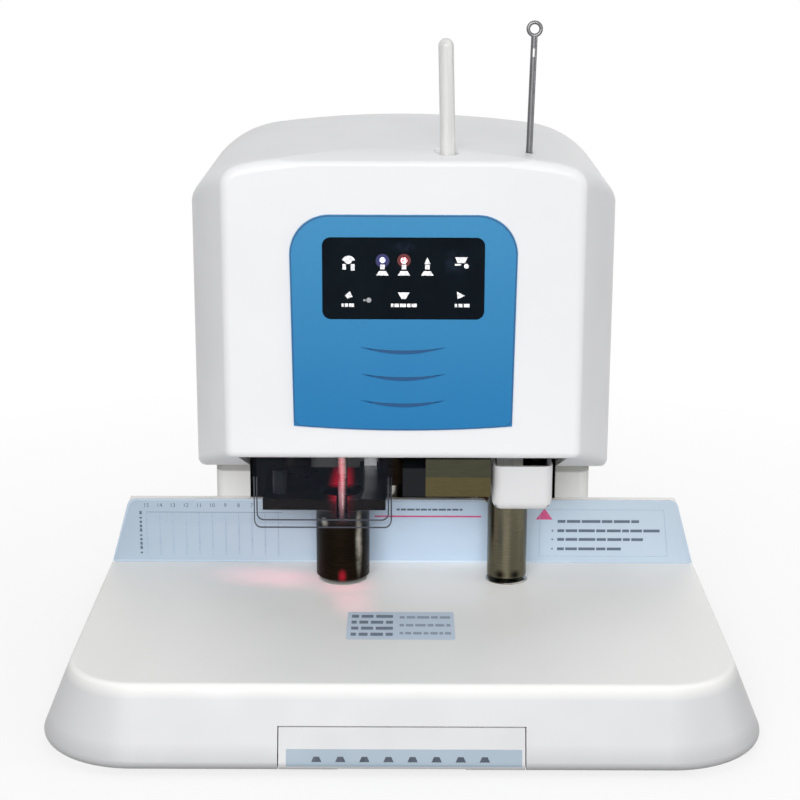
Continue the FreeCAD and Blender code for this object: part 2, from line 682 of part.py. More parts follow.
def drawer(outer):
    """The accessory drawer: its front follows the base's own surface."""
    half = S.drawer_width / 2
    rear = DRAWER_FACE_REAR
    front_zone = box("drawer_front_zone", (-half, half), (-S.base_front - 1, rear),
                     (S.foot_gap, S.drawer_top))
    front = common("drawer_front_form", outer, front_zone)
    box_half = S.drawer_box_width / 2
    floor = S.drawer_low
    tray = box("drawer_tray", (-box_half, box_half), (rear - 1, -S.drawer_box_rear - S.drawer_gap),
               (floor, S.drawer_box_top))
    inside = box("drawer_inside", (S.drawer_wall - box_half, box_half - S.drawer_wall),
                 (rear, -S.drawer_box_rear - S.drawer_gap - S.drawer_wall),
                 (floor + S.drawer_wall, S.drawer_box_top + 1))
    body = fuse("drawer_body", front, tray)
    grip = box("drawer_grip", (-S.grip_width / 2, S.grip_width / 2),
               (-S.base_front - 1, S.grip_deep - S.base_front),
               (S.foot_gap, S.foot_gap + S.grip_height))
    return sub_part(cut("drawer_hollow", body, inside, grip), "accessory_drawer")


# ---------------------------------------------------------------- neck and head

def neck_shell(ridge_name):
    half = S.neck_width / 2
    top = S.cheek_low + S.neck_lap
    body = new_body("neck_block")
    outline = new_sketch(body, "XY_Plane", "neck_outline", TABLE)
    profile(outline, [
        (-half + S.neck_corner, S.neck_front), (half - S.neck_corner, S.neck_front),
        (half, S.neck_front + S.neck_corner), (half, S.neck_rear),
        (-half, S.neck_rear), (-half, S.neck_front + S.neck_corner)],
        {1: S.neck_corner, 5: S.neck_corner})
    pad(body, outline, top - TABLE)
    inner = half - S.neck_wall
    room = box("neck_room", (-inner, inner), (S.neck_front + S.neck_wall, S.neck_rear + 1),
               (TABLE - 1, top + 1))
    gap = CAVITY_HALF
    mouth = box("neck_mouth", (-gap, gap), (S.neck_front - 1, S.neck_front + S.neck_wall + 1),
                (TABLE - 1, top + 1))
    ridge = doc.getObject(ridge_name)
    tie = box("neck_tie", (-inner, inner), (S.neck_rear - S.neck_wall, S.neck_rear),
              (S.cheek_low, top))
    walls = cut("neck_walls", body, room, mouth, ridge)
    return sub_part(fuse("neck_full", walls, tie), "neck_shell")


def hood_form(name, inset, spare):
    """The head's outer form less an inset: plan, front and side outlines in common.
    spare lengthens it past the rear edge."""
    front = S.head_front - inset
    face = S.face_width / 2 - inset
    shoulder = S.shoulder_width / 2 - inset
    rear_side = S.head_rear_width / 2 - inset
    rear = S.neck_rear + spare
    top = S.head_top - inset
    body = new_body(name + "_plan")
    plan = new_sketch(body, "XY_Plane", name + "_plan_outline", S.cheek_low - S.head_spare)
    profile(plan, [
        (-face, -front), (face, -front), (shoulder, S.shoulder_place), (rear_side, rear),
        (-rear_side, rear), (-shoulder, S.shoulder_place)],
        {1: S.side_bow, 5: S.side_bow})
    pad(body, plan, S.head_top - S.cheek_low + S.head_spare * 2)

    elevation = new_body(name + "_front")
    outline = new_sketch(elevation, "XZ_Plane", name + "_front_outline", S.head_front + S.head_spare)
    side = S.head_side_width / 2 - inset
    crown = S.arch_radius - inset
    shoulder_drop = Size(
        crown.value - math.sqrt(crown.value ** 2 - side.value ** 2),
        f"({crown.text} - sqrt({crown.text} ^ 2 - {side.text} ^ 2))")
    low = S.cheek_low - S.head_spare
    profile(outline, [(-side, low), (side, low), (side, top - shoulder_drop),
                      (-side, top - shoulder_drop)], {2: crown})
    pad(elevation, outline, S.head_front + S.neck_rear + S.head_spare * 3, away=True)
    shoulders = rounded(
        name + "_shoulders", elevation, S.side_round - inset,
        lambda edge: along(edge, "y") and near(edge.BoundBox.ZMin, top - shoulder_drop, 0.5))

    profile_body = new_body(name + "_side")
    side_view = new_sketch(profile_body, "YZ_Plane", name + "_side_outline", -S.head_side_width / 2
                           - S.head_spare)
    profile(side_view, [
        (-front, S.face_bottom + inset), (S.neck_front, S.cheek_low + inset),
        (rear, S.cheek_low + inset), (rear, top + inset), (S.brow_end - inset, top),
        (-front, S.brow_start - inset)],
        {4: S.brow_radius - inset})
    pad(profile_body, side_view, S.head_side_width + S.head_spare * 2)
    return common(name, body, shoulders, profile_body)


def head_shell():
    outer = hood_form("hood", as_size(0), as_size(0))

    def shoulder_edge(edge):
        b = edge.BoundBox
        return near(b.YMin, -S.head_front, 1) and near(b.YMax, S.shoulder_place, 1) and (
            b.ZMin > S.cheek_low.value + S.panel_top.value / 2)

    def upright_edge(edge):
        b = edge.BoundBox
        return near(b.YMax, -S.head_front, 0.2) and b.ZLength > S.head_side_width.value / 2

    def cheek_edge(edge):
        b = edge.BoundBox
        return (b.ZMax < S.face_bottom.value + 0.3 and b.XLength < S.neck_front.value
                and b.YMin < S.neck_rear.value - 0.3)

    def face_edge(edge):
        b = edge.BoundBox
        return near(b.YMin, -S.head_front, 0.2) and near(b.YMax, -S.head_front, 0.2)

    shouldered = rounded("hood_shouldered", outer, S.shoulder_round, shoulder_edge)
    upright = rounded("hood_upright", shouldered, S.face_round, upright_edge)
    cheeked = rounded("hood_cheeked", upright, S.cheek_round, cheek_edge)
    faced = rounded("hood_faced", cheeked, S.lip_round, face_edge)
    inner = hood_form("hood_room", S.head_wall, as_size(S.head_spare))
    gap = CAVITY_HALF
    front_gap = box("hood_mouth", (-gap, gap), (S.head_wall - S.head_front, S.neck_rear + 1),
                    (S.cheek_low - 1, S.face_bottom + S.head_wall + 1))
    half = S.neck_width / 2 + S.hood_slack
    neck_gap = box("hood_neck_gap", (-half, half), (S.neck_front - S.hood_slack, S.neck_rear + 1),
                   (S.cheek_low - S.head_spare, S.cheek_low + S.head_wall + 1))
    seat = panel_block("panel_seat", -S.panel_slack, S.head_front - S.panel_seat,
                       S.panel_seat + 1)
    port_x = S.port_width / 2
    port = box("display_port", (-port_x, port_x), (-S.head_front - 1, S.head_wall - S.head_front + 1),
               (S.window_low + (S.window_height - S.port_height) / 2,
                S.window_low + (S.window_height + S.port_height) / 2))
    funnel = doc.addObject("Part::Cone", "tube_funnel")
    bind(funnel, "Radius1", S.guide_radius)
    bind(funnel, "Radius2", S.funnel_radius)
    bind(funnel, "Height", S.funnel_deep + S.head_wall)
    place(funnel, S.tube_side, -S.tube_place, S.head_top - S.funnel_deep)
    tube_hole = lean(
        cylinder("tube_hole", S.guide_radius + S.hood_slack, S.bridge_low, S.head_top + 5,
                 (tube_x(S.bridge_low), -S.tube_place)), -S.tube_lean)
    needle_hole = lean(
        cylinder("needle_hole", S.holder_radius + S.hood_slack, S.bridge_low, S.head_top + 5,
                 (needle_x(S.bridge_low), -S.needle_place)), S.needle_lean)
    shell = cut("hood_cut", faced, inner, front_gap, neck_gap, seat, port, funnel, tube_hole,
                needle_hole)
    return sub_part(shell, "head_shell")


def rear_cover():
    """The screwed rear cover: the hood's own outline above, the neck's width below."""
    slab = new_body("cover_slab")
    outline = new_sketch(slab, "XZ_Plane", "cover_outline", -S.neck_rear)
    side = S.head_side_width / 2
    crown = S.arch_radius
    drop = Size(
        crown.value - math.sqrt(crown.value ** 2 - side.value ** 2),
        f"({crown.text} - sqrt({crown.text} ^ 2 - {side.text} ^ 2))")
    top = S.head_top - drop
    wide = S.head_rear_width / 2
    profile(outline, [(-wide, S.cheek_low), (wide, S.cheek_low), (wide, top),
                      (-wide, top)], {2: crown})
    pad(slab, outline, S.cover_thick, away=True)
    shaped = rounded(
        "cover_shoulders", slab, S.side_round,
        lambda edge: along(edge, "y") and near(edge.BoundBox.ZMin, top, 0.5))
    half = S.neck_width / 2
    rear = (S.neck_rear, S.neck_rear + S.cover_thick)
    lower = box("cover_lower", (-half, half), rear,
                (deck_height(S.neck_rear) + S.cover_rise, S.cheek_low + 1))
    slots = []
    for side_sign in (-1, 1):
        for index in range(int(S.vent_count.value)):
            low = S.vent_low + index * S.vent_pitch
            middle = side_sign * S.vent_place
            slots.append(box(f"vent_{side_sign + 1}_{index}",
                             (middle - S.vent_length / 2, middle + S.vent_length / 2),
                             (S.neck_rear - 1, S.neck_rear + S.cover_thick + 1),
                             (low, low + S.vent_height)))
    full = fuse("cover_full", shaped, lower)
    return sub_part(cut("cover_vented", full, *slots), "rear_cover")


def cover_screws():
    screws = []
    top = S.neck_rear + S.cover_thick
    rows = ((S.cover_screw_low, 0.9), (S.cover_screw_mid, 1.1), (S.cover_screw_top, 0.8))
    for index, (height, share) in enumerate(rows):
        for sign in (-1, 1):
            screw = turned(f"cover_screw_{index}_{sign + 1}", [
                (0, 0), (S.screw_head, 0), (S.screw_head * 0.7, S.screw_head_rise),
                (0, S.screw_head_rise)])
            screw.Placement = FreeCAD.Placement(FreeCAD.Vector(), TURNS["y"])
            place(screw, S.cover_screw_side * share * sign, top, height)
            screws.append(screw)
    return sub_part(group("cover_screw_set", *screws), "cover_screws")


# ---------------------------------------------------------------- control panel

def panel_block(name, shrink, front, thick):
    """The panel's outline as a block from a depth in front of the origin, going forward."""
    body = new_body(name)
    outline = new_sketch(body, "XZ_Plane", name + "_outline", front)
    low = S.panel_low_width / 2 - shrink
    top = S.panel_top_width / 2 - shrink
    bow_half = S.panel_low_width / 2
    bow = S.panel_side_low - S.panel_mid_low
    radius = (bow_half * bow_half / bow + bow) / 2
    corner = S.panel_corner
    shoulder = S.panel_top - corner
    profile(outline, [
        (-low, S.panel_side_low + shrink), (low, S.panel_side_low + shrink),
        (top, shoulder), (top - corner, S.panel_top - shrink),
        (corner - top, S.panel_top - shrink), (-top, shoulder)],
        {0: radius, 2: corner, 4: corner})
    pad(body, outline, thick)
    return body


def control_panel():
    floor = S.head_front - S.panel_seat
    body = panel_block("panel_body", as_size(0), floor, S.panel_thick)
    face = floor + S.panel_thick
    half = S.window_width / 2
    window = new_sketch(body, "XZ_Plane", "window_recess", face)
    rounded_outline(window, (-half, half), (S.window_low, S.window_low + S.window_height),
                    S.window_corner, S.window_corner)
    pocket(body, window, S.window_thick)
    port = new_sketch(body, "XZ_Plane", "window_port", face)
    port_x = S.port_width / 2
    port_low = S.window_low + (S.window_height - S.port_height) / 2
    profile(port, [(-port_x, port_low), (port_x, port_low), (port_x, port_low + S.port_height),
                   (-port_x, port_low + S.port_height)])
    pocket(body, port, S.panel_thick + 1)
    grooves = new_sketch(body, "XZ_Plane", "smile_grooves", face)
    reach = S.groove_width / 2
    upper = (reach * reach / S.groove_sag + S.groove_sag) / 2
    lower = (reach * reach / S.groove_drop + S.groove_drop) / 2
    for index in range(int(S.groove_count.value)):
        height = S.groove_top - index * S.groove_pitch
        profile(grooves, [(-reach, height), (reach, height)], {0: lower, 1: -upper})
    pocket(body, grooves, S.groove_deep)
    return sub_part(body, "control_panel")


def display_window():
    body = new_body("window_body")
    face = S.head_front - S.panel_seat + S.panel_thick
    sketch = new_sketch(body, "XZ_Plane", "window_outline", face - S.window_thick)
    half = S.window_width / 2 - S.window_slack
    rounded_outline(
        sketch, (-half, half),
        (S.window_low + S.window_slack, S.window_low + S.window_height - S.window_slack),
        S.window_corner - S.window_slack, S.window_corner - S.window_slack)
    pad(body, sketch, S.window_thick)
    return sub_part(body, "display_window")


def panel_board():
    """The touch board behind the window, with its indicator lamps in front."""
    rear_face = S.head_wall - S.head_front
    half = S.board_width / 2
    middle = S.window_low + S.window_height / 2
    board = box("panel_board_plate", (-half, half),
                (rear_face + S.board_gap, rear_face + S.board_gap + S.board_thick),
                (middle - S.board_height / 2, middle + S.board_height / 2))
    posts = []
    for index, (sx, sz) in enumerate(((-1, -1), (1, -1), (-1, 1), (1, 1))):
        posts.append(cylinder(
            f"board_post_{index}", S.standoff_radius, rear_face, rear_face + S.board_gap,
            (sx * (half - S.standoff_radius - 0.4),
             middle + sz * (S.board_height / 2 - S.standoff_radius - 0.4)), "y"))
    return fuse("panel_board", board, *posts)


# ---------------------------------------------------------------- steel frame

def side_plate(name, left):
    """A C-shaped cheek of the frame, cut back for the throat under the head."""
    body = new_body(name)
    sketch = new_sketch(body, "YZ_Plane", name + "_outline", left)
    profile(sketch, [
        (S.frame_throat, BED_TOP), (S.frame_rear, BED_TOP), (S.frame_rear, S.bridge_low),
        (-S.frame_front, S.bridge_low), (-S.frame_front, S.frame_arm_low),
        (S.frame_throat, S.frame_arm_slope)])
    pad(body, sketch, S.plate_thick)
    return body


def bed_plate():
    """The bed under the table: a plate on four welded posts, with the drill pad's cup."""
    side = S.frame_side + S.plate_thick
    plate = box("bed_block", (-side, side), (-S.bed_front, S.frame_rear + S.frame_rear_thick),
                (S.bed_low, BED_TOP))
    die_seat = cylinder("bed_die_hole", S.die_nub, S.bed_low - 1, BED_TOP + 1,
                        (RIVET_X, STATION_Y))
    drilled = cut("bed_cut", plate, die_seat, *rod_holes("bed", S.bed_low))
    return sub_part(fuse("bed_full", drilled, pad_cup(), *bed_posts()), "bed_plate")


def pad_cup():
    floor = TABLE - S.pad_thick
    rim = BED_TOP + S.cup_height
    cup = turned("pad_cup", [
        (0, BED_TOP), (S.pad_radius + S.cup_wall, BED_TOP), (S.pad_radius + S.cup_wall, rim),
        (S.pad_radius + S.shaft_slack, rim), (S.pad_radius + S.shaft_slack, floor), (0, floor)])
    place(cup, DRILL_X, STATION_Y, 0)
    return cup


def bed_posts():
    low = S.foot_gap + S.bottom_thick
    front = S.post_radius - S.bed_front
    rear = S.frame_rear - S.post_radius
    return [cylinder(f"bed_post_{index}", S.post_radius, low, S.bed_low, (x, y))
            for index, (x, y) in enumerate((
                (-S.post_side, front), (S.post_side, front),
                (-S.post_side, rear), (S.post_side, rear)))]


def rod_holes(prefix, low):
    """Through holes for the four guide rods in a plate that starts at a height."""
    holes = []
    for index, x in enumerate((*DRILL_RODS, *RIVET_RODS)):
        holes.append(cylinder(f"{prefix}_rod_hole_{index}", S.rod_radius, low - 1,
                              low + S.bed_thick + 1, (x, S.rod_place)))
    return holes


def bridge_plate():
    """The top plate: it holds the guide rods' upper ends and the cleaning rod's holder."""
    side = S.frame_side + S.plate_thick
    z = (S.bridge_low - 1, S.bridge_low + S.bridge_thick + 1)
    plate = box("bridge_block", (-side, side), (-S.frame_front, S.frame_rear),
                (S.bridge_low, S.bridge_low + S.bridge_thick))
    low = S.bridge_low - 2
    needle_seat = lean(
        cylinder("bridge_needle_hole", S.holder_radius, low, z[1] + 1,
                 (needle_x(low), -S.needle_place)), S.needle_lean)
    window = box("bridge_window", (-S.bridge_window, S.bridge_window),
                 (S.rod_place + S.hub_radius * 2, S.frame_rear - S.hub_radius * 2), z)
    return cut("bridge_cut", plate, needle_seat, window, *rod_holes("bridge", S.bridge_low))


def rear_plate():
    side = S.frame_side + S.plate_thick
    plate = box("rear_block", (-side, side), (S.frame_rear, S.frame_rear + S.frame_rear_thick),
                (BED_TOP, S.bridge_low + S.bridge_thick))
    windows = []
    for row in range(2):
        for sign in (-1, 1):
            middle = sign * (S.rear_window_width / 2 + S.hub_radius)
            low = S.rear_window_low + row * (S.rear_window_height + S.hub_radius * 2)
            windows.append(box(f"rear_window_{row}_{sign + 1}",
                               (middle - S.rear_window_width / 2, middle + S.rear_window_width / 2),
                               (S.frame_rear - 1, S.frame_rear + S.frame_rear_thick + 1),
                               (low, low + S.rear_window_height)))
    return cut("rear_cut", plate, *windows)


def head_frame():
    """The welded steel frame: two cheeks, the rear plate and the top plate."""
    left = side_plate("left_cheek", -S.frame_side - S.plate_thick)
    right = side_plate("right_cheek", S.frame_side)
    return sub_part(fuse("frame_weldment", left, right, rear_plate(), bridge_plate()), "head_frame")


def shaft_hole(name, height, x):
    return cylinder(name, S.shaft_radius + S.shaft_slack, x[0] - 1, x[1] + 1, (SHAFT_Y, height), "x")


def centre_plate():
    """The plate between the gear motors; its arm reaches forward to carry the cutter."""
    x = (S.centre_plate_side, S.centre_plate_side + S.plate_thick)
    body = new_body("centre_body")
    outline = new_sketch(body, "YZ_Plane", "centre_outline", x[0])
    arm_top = S.cutter_low + S.cutter_thick + S.blade_thick + S.blade_gap * 2 + S.block_thick
    arm_low = S.cutter_low - S.arm_drop
    profile(outline, [
        (S.centre_plate_front, BED_TOP), (S.frame_rear, BED_TOP), (S.frame_rear, S.bridge_low),
        (S.centre_plate_front, S.bridge_low), (S.centre_plate_front, arm_top),
        (-S.cutter_rear, arm_top), (-S.cutter_rear, S.cutter_low),
        (S.centre_plate_front, arm_low)])
    pad(body, outline, S.plate_thick)
    holes = (shaft_hole("centre_press_hole", S.press_shaft_height, x),
             shaft_hole("centre_feed_hole", FEED_SHAFT_Z, x))
    return sub_part(cut("centre_cut", body, *holes), "centre_plate")


def shaft_bracket(name, left, *shafts):
    """An upright on the rear plate that carries the cross shafts, lowest first."""
    x = (left, left + S.plate_thick)
    plate = box(name + "_block", x, (SHAFT_Y - S.hub_radius, S.frame_rear),
                (shafts[0] - S.bracket_margin, shafts[-1] + S.bracket_margin))
    holes = [shaft_hole(f"{name}_hole_{index}", shaft, x) for index, shaft in enumerate(shafts)]
    return cut(name, plate, *holes)


def shaft_brackets():
    left = shaft_bracket("left_bracket", -S.bracket_side, S.press_shaft_height, FEED_SHAFT_Z)
    right = shaft_bracket("right_bracket", S.bracket_side_right, S.press_shaft_height)
    return sub_part(group("bracket_pair", left, right), "shaft_brackets")


def guide_rods():
    rods = []
    for index, x in enumerate((*DRILL_RODS, *RIVET_RODS)):
        rods.append(cylinder(f"guide_rod_{index}", S.rod_radius, S.bed_low,
                             S.bridge_low + S.bridge_thick, (x, S.rod_place)))
    return sub_part(group("guide_rod_set", *rods), "guide_rods")


def bushings(name, rods, low, high):
    """Bronze sleeves that run on a pair of guide rods."""
    sleeves = []
    for index, x in enumerate(rods):
        outside = cylinder(f"{name}_{index}_out", S.bush_radius, low, high, (x, S.rod_place))
        bore = cylinder(f"{name}_{index}_bore", SLIDE_RADIUS, low - 1, high + 1, (x, S.rod_place))
        sleeves.append(cut(f"{name}_{index}", outside, bore))
    return sleeves


def bush_seats(prefix, rods, low, high):
    return [cylinder(f"{prefix}_seat_{index}", S.bush_radius, low - 1, high + 1, (x, S.rod_place))
            for index, x in enumerate(rods)]


# ---------------------------------------------------------------- racks and pinions

def involute_flank(base_radius, outer_radius, start_radius, steps):
    """Points of an involute from start_radius to outer_radius, its root on the X axis."""
    points = []
    for index in range(steps + 1):
        radius = start_radius + (outer_radius - start_radius) * index / steps
        roll = math.sqrt(max((radius / base_radius) ** 2 - 1, 0))
        angle = roll - math.atan(roll)
        points.append(FreeCAD.Vector(radius * math.cos(angle), radius * math.sin(angle), 0))
    return points


def pinion_shape():
    """A spur pinion with involute teeth round X, one tooth pointing at the rack (-Y)."""
    module = S.gear_module.value
    teeth = int(S.gear_teeth.value)
    pressure = math.radians(S.pressure_angle.value)
    pitch = module * teeth / 2
    base = pitch * math.cos(pressure)
    outer = pitch + module
    root = pitch - 1.25 * module
    start = max(base, root)
    roll = math.tan(pressure) - pressure
    thinning = S.gear_backlash.value / 2 / pitch
    half_tooth = math.pi / (2 * teeth) - thinning / 2 + roll
    flank = involute_flank(base, outer, start, 4)
    edges = []
    for index in range(teeth):
        middle = 2 * math.pi * index / teeth + math.pi
        right = [turn_point(point, middle - half_tooth) for point in flank]
        left = [turn_point(mirror_point(point), middle + half_tooth) for point in flank]
        following = middle + 2 * math.pi / teeth
        foot_right = turn_point(FreeCAD.Vector(root, 0, 0), middle - half_tooth)
        foot_left = turn_point(FreeCAD.Vector(root, 0, 0), middle + half_tooth)
        next_foot = turn_point(FreeCAD.Vector(root, 0, 0), following - half_tooth)
        edges.append(Part.LineSegment(foot_right, right[0]).toShape())
        edges.append(spline_edge(right))
        edges.append(Part.LineSegment(right[-1], left[-1]).toShape())
        edges.append(spline_edge(list(reversed(left))))
        edges.append(Part.LineSegment(left[0], foot_left).toShape())
        edges.append(Part.LineSegment(foot_left, next_foot).toShape())
    face = Part.Face(Part.Wire(edges))
    gear = face.extrude(FreeCAD.Vector(0, 0, S.gear_width.value))
    gear.rotate(FreeCAD.Vector(), FreeCAD.Vector(0, 1, 0), 90)
    gear.rotate(FreeCAD.Vector(), FreeCAD.Vector(1, 0, 0), 90)
    return gear


def turn_point(point, angle):
    cosine, sine = math.cos(angle), math.sin(angle)
    return FreeCAD.Vector(point.x * cosine - point.y * sine, point.x * sine + point.y * cosine, 0)


def mirror_point(point):
    return FreeCAD.Vector(point.x, -point.y, 0)


def spline_edge(points):
    curve = Part.BSplineCurve()
    curve.interpolate(points)
    return curve.toShape()


def rack_shape(x_middle, back, low, high, mesh_height):
    """A rack whose teeth face +Y, with a tooth space level with the pinion's axis."""
    module = S.gear_module.value
    pitch = math.pi * module
    line = S.rack_pitch_line.value
    flare = math.tan(math.radians(S.pressure_angle.value))
    tip_half = pitch / 4 - module * flare - S.gear_backlash.value / 4
    root_half = pitch / 4 + 1.25 * module * flare - S.gear_backlash.value / 4
    root_line = line - 1.25 * module
    tip_line = line + module
    points = [FreeCAD.Vector(0, back, low), FreeCAD.Vector(0, root_line, low)]
    first = math.ceil((low + root_half - mesh_height) / pitch - 0.5)
    height = mesh_height + (first + 0.5) * pitch
    while height + root_half < high:
        points.append(FreeCAD.Vector(0, root_line, height - root_half))
        points.append(FreeCAD.Vector(0, tip_line, height - tip_half))
        points.append(FreeCAD.Vector(0, tip_line, height + tip_half))
        points.append(FreeCAD.Vector(0, root_line, height + root_half))
        height += pitch
    points.append(FreeCAD.Vector(0, root_line, high))
    points.append(FreeCAD.Vector(0, back, high))
    face = Part.Face(Part.makePolygon(points + points[:1]))
    bar = face.extrude(FreeCAD.Vector(S.gear_width.value, 0, 0))
    bar.translate(FreeCAD.Vector(x_middle - S.gear_width.value / 2, 0, 0))
    return bar


def rack(label, x_middle, back, low, high, mesh_height):
    shape = rack_shape(x_middle.value, back.value, low.value, high.value, mesh_height.value)
    return sub_part(feature_from(label + "_bar", shape), label)


def pinion(name, x_middle, height):
    """A pinion placed on its shaft: its bore is the shaft itself."""
    gear = feature_from(name, pinion_shape())
    place(gear, x_middle - S.gear_width / 2, SHAFT_Y, height)
    return gear


def press_shaft():
    """One cross shaft lifts both press feet through its two pinions."""
    left = -S.bracket_side
    right = S.bracket_side_right + S.plate_thick
    shaft = cylinder("press_shaft_bar", S.shaft_radius, left, right,
                     (SHAFT_Y, S.press_shaft_height), "x")
    foot_gear = pinion("foot_pinion", -S.foot_rack_side, S.press_shaft_height)
    rivet_gear = pinion("rivet_pinion", S.rivet_rack_side, S.press_shaft_height)
    return sub_part(fuse("press_shaft_set", shaft, foot_gear, rivet_gear), "press_shaft")


def feed_shaft():
    left = -S.bracket_side
    right = S.centre_plate_side + S.plate_thick
    shaft = cylinder("feed_shaft_bar", S.shaft_radius, left, right,
                     (SHAFT_Y, FEED_SHAFT_Z), "x")
    gear = pinion("feed_pinion", -S.drill_rack_side, FEED_SHAFT_Z)
    return sub_part(fuse("feed_shaft_set", shaft, gear), "feed_shaft")


def gear_motor(name, x, height, upward):
    """A worm gear motor: a flat gearbox round the shaft and a motor can beside it."""
    gearbox = cylinder(name + "_box", S.gearbox_radius, x[0], x[1], (SHAFT_Y, height), "x")
    middle = (x[0] + x[1]) / 2
    can_y = SHAFT_Y + S.can_offset
    near_end = height + S.can_offset if upward else height - S.can_offset - S.can_length
    can = cylinder(name + "_can", S.can_radius, near_end, near_end + S.can_length, (middle, can_y))
    limit = box(name + "_limit", x, (SHAFT_Y - S.gearbox_radius, S.frame_rear),
                (height - S.can_offset - S.can_length, height + S.can_offset + S.can_length))
    trimmed = common(name + "_trimmed", can, limit)
    bore = shaft_hole(name + "_bore", height, x)
    return cut(name, fuse(name + "_full", gearbox, trimmed), bore)


def gear_motors():
    """The two gear motors, one on each side of the centre plate."""
    left = S.centre_plate_side
    right = left + S.plate_thick
    press = gear_motor("press_motor", (right, right + S.gearbox_thick), S.press_shaft_height,
                       False)
    feed = gear_motor("feed_motor", (left - S.gearbox_thick, left), FEED_SHAFT_Z, True)
    return sub_part(group("gear_motor_pair", press, feed), "gear_motors")


# ---------------------------------------------------------------- drill station

def drill_foot():
    """The glossy press foot: a hollow sleeve under a plate that runs on two guide rods."""
    base = turned("foot_sleeve", [
        (S.foot_hole, FOOT_LOW), (S.foot_radius - S.foot_edge, FOOT_LOW),
        (S.foot_radius, FOOT_LOW + S.foot_edge),
        (S.foot_radius, S.foot_plate_low - S.foot_fillet),
        (S.foot_radius + S.foot_fillet, S.foot_plate_low),
        (S.foot_radius + S.foot_fillet, S.foot_plate_low + S.foot_plate_thick),
        (S.foot_bore, S.foot_plate_low + S.foot_plate_thick),
        (S.foot_bore, FOOT_LOW + S.foot_floor), (S.foot_hole, FOOT_LOW + S.foot_floor)],
        {3: -S.foot_fillet})
    place(base, DRILL_X, STATION_Y, 0)
    top = S.foot_plate_low + S.foot_plate_thick
    plate = box("foot_plate", (-S.foot_plate_left, -S.foot_plate_right),
                (-S.foot_plate_front, S.foot_plate_rear), (S.foot_plate_low, top))
    rack_tab = box("foot_rack_tab",
                   (-S.foot_rack_side - S.gear_width / 2 - S.tab_side,
                    S.gear_width / 2 + S.tab_side - S.foot_rack_side),
                   (S.rod_place, S.rack_pitch_line + S.gear_module), (S.foot_plate_low, top))
    boss_top = S.foot_plate_low + S.foot_boss_height
    bosses = [cylinder(f"foot_boss_{index}", BOSS_RADIUS, S.foot_plate_low, boss_top,
                       (x, S.rod_place)) for index, x in enumerate(DRILL_RODS)]
    full = fuse("foot_full", base, plate, rack_tab, *bosses)
    bore = cylinder("foot_bore_cut", S.foot_bore, S.foot_plate_low - 1, top + 1,
                    (DRILL_X, STATION_Y))
    half = S.slot_width / 2
    slot = box("foot_slot", (DRILL_X - half, DRILL_X + half),
               (STATION_Y - S.foot_radius * 2, STATION_Y), (S.slot_low, top + 1))
    seats = bush_seats("foot", DRILL_RODS, S.foot_plate_low, boss_top)
    laser = cylinder("foot_laser_hole", S.laser_radius, S.foot_plate_low - 1, top + 1,
                     (-S.laser_side, S.laser_place))
    return sub_part(cut("foot_cut", full, bore, slot, laser, *seats), "drill_press_foot")


def foot_bushings():
    sleeves = bushings("foot_sleeve_bush", DRILL_RODS, S.foot_plate_low,
                       S.foot_plate_low + S.foot_boss_height)
    return sub_part(group("foot_bush_pair", *sleeves), "foot_bushings")


def laser_module():
    low = S.foot_plate_low
    barrel = cylinder("laser_barrel", S.laser_radius, low, low + S.laser_length,
                      (-S.laser_side, S.laser_place))
    lens = cylinder("laser_lens_bore", S.laser_radius / 2, low - 1, low + S.foot_edge,
                    (-S.laser_side, S.laser_place))
    return sub_part(cut("laser_cut", barrel, lens), "laser_module")


def drill_carriage():
    low = S.carriage_low
    top = low + S.carriage_thick
    front = box("carriage_front", (-S.carriage_left, DRILL_RODS[1] + BOSS_RADIUS),
                (-S.carriage_front, S.carriage_rear), (low, top))
    seat = box("carriage_seat", (-S.seat_left, -S.seat_right),
               (S.carriage_rear - 1, S.seat_rear), (low, top))
    nose = cylinder("carriage_nose", S.nose_radius, low - S.nose_length, low + 1,
                    (DRILL_X, STATION_Y))
    rack_lug = box("carriage_lug", (-S.drill_rack_side - S.gear_width / 2, S.gear_width / 2
                   - S.drill_rack_side), (S.carriage_rear - 1, S.rack_back), (low, top))
    bore = cylinder("carriage_bore", S.bearing_radius, low - S.nose_length - 1, top + 1,
                    (DRILL_X, STATION_Y))
    motor_hole = cylinder("carriage_motor_hole", S.hub_radius, low - 1, top + 1,
                          (-S.motor_side, S.motor_place))
    seats = bush_seats("carriage", DRILL_RODS, low, top)
    return sub_part(cut("carriage_cut", fuse("carriage_full", front, seat, nose, rack_lug), bore,
                        motor_hole, *seats), "drill_carriage")


def carriage_bearings():
    """The carriage's sleeves on the guide rods and the spindle's two bearings."""
    rings = bushings("carriage_sleeve", DRILL_RODS, S.carriage_low,
                     S.carriage_low + S.carriage_thick)
    lower = S.carriage_low - S.nose_length
    upper = S.carriage_low + S.carriage_thick - S.bearing_thick
    for index, low in enumerate((lower, upper)):
        ring = cylinder(f"bearing_{index}_out", S.bearing_radius, low, low + S.bearing_thick,
                        (DRILL_X, STATION_Y))
        bore = cylinder(f"bearing_{index}_bore", S.spindle_radius + S.shaft_slack, low - 1,
                        low + S.bearing_thick + 1, (DRILL_X, STATION_Y))
        rings.append(cut(f"bearing_{index}", ring, bore))
    return sub_part(group("carriage_rings", *rings), "carriage_bearings")


def pulley_points(radius, bore, low):
    """Half section of a flanged belt pulley."""
    high = low + S.pulley_height
    proud = radius + S.flange_proud
    rim = S.pulley_flange
    return [(bore, low), (proud, low), (proud, low + rim), (radius, low + rim * 1.5),
            (radius, high - rim * 1.5), (proud, high - rim), (proud, high), (bore, high)]


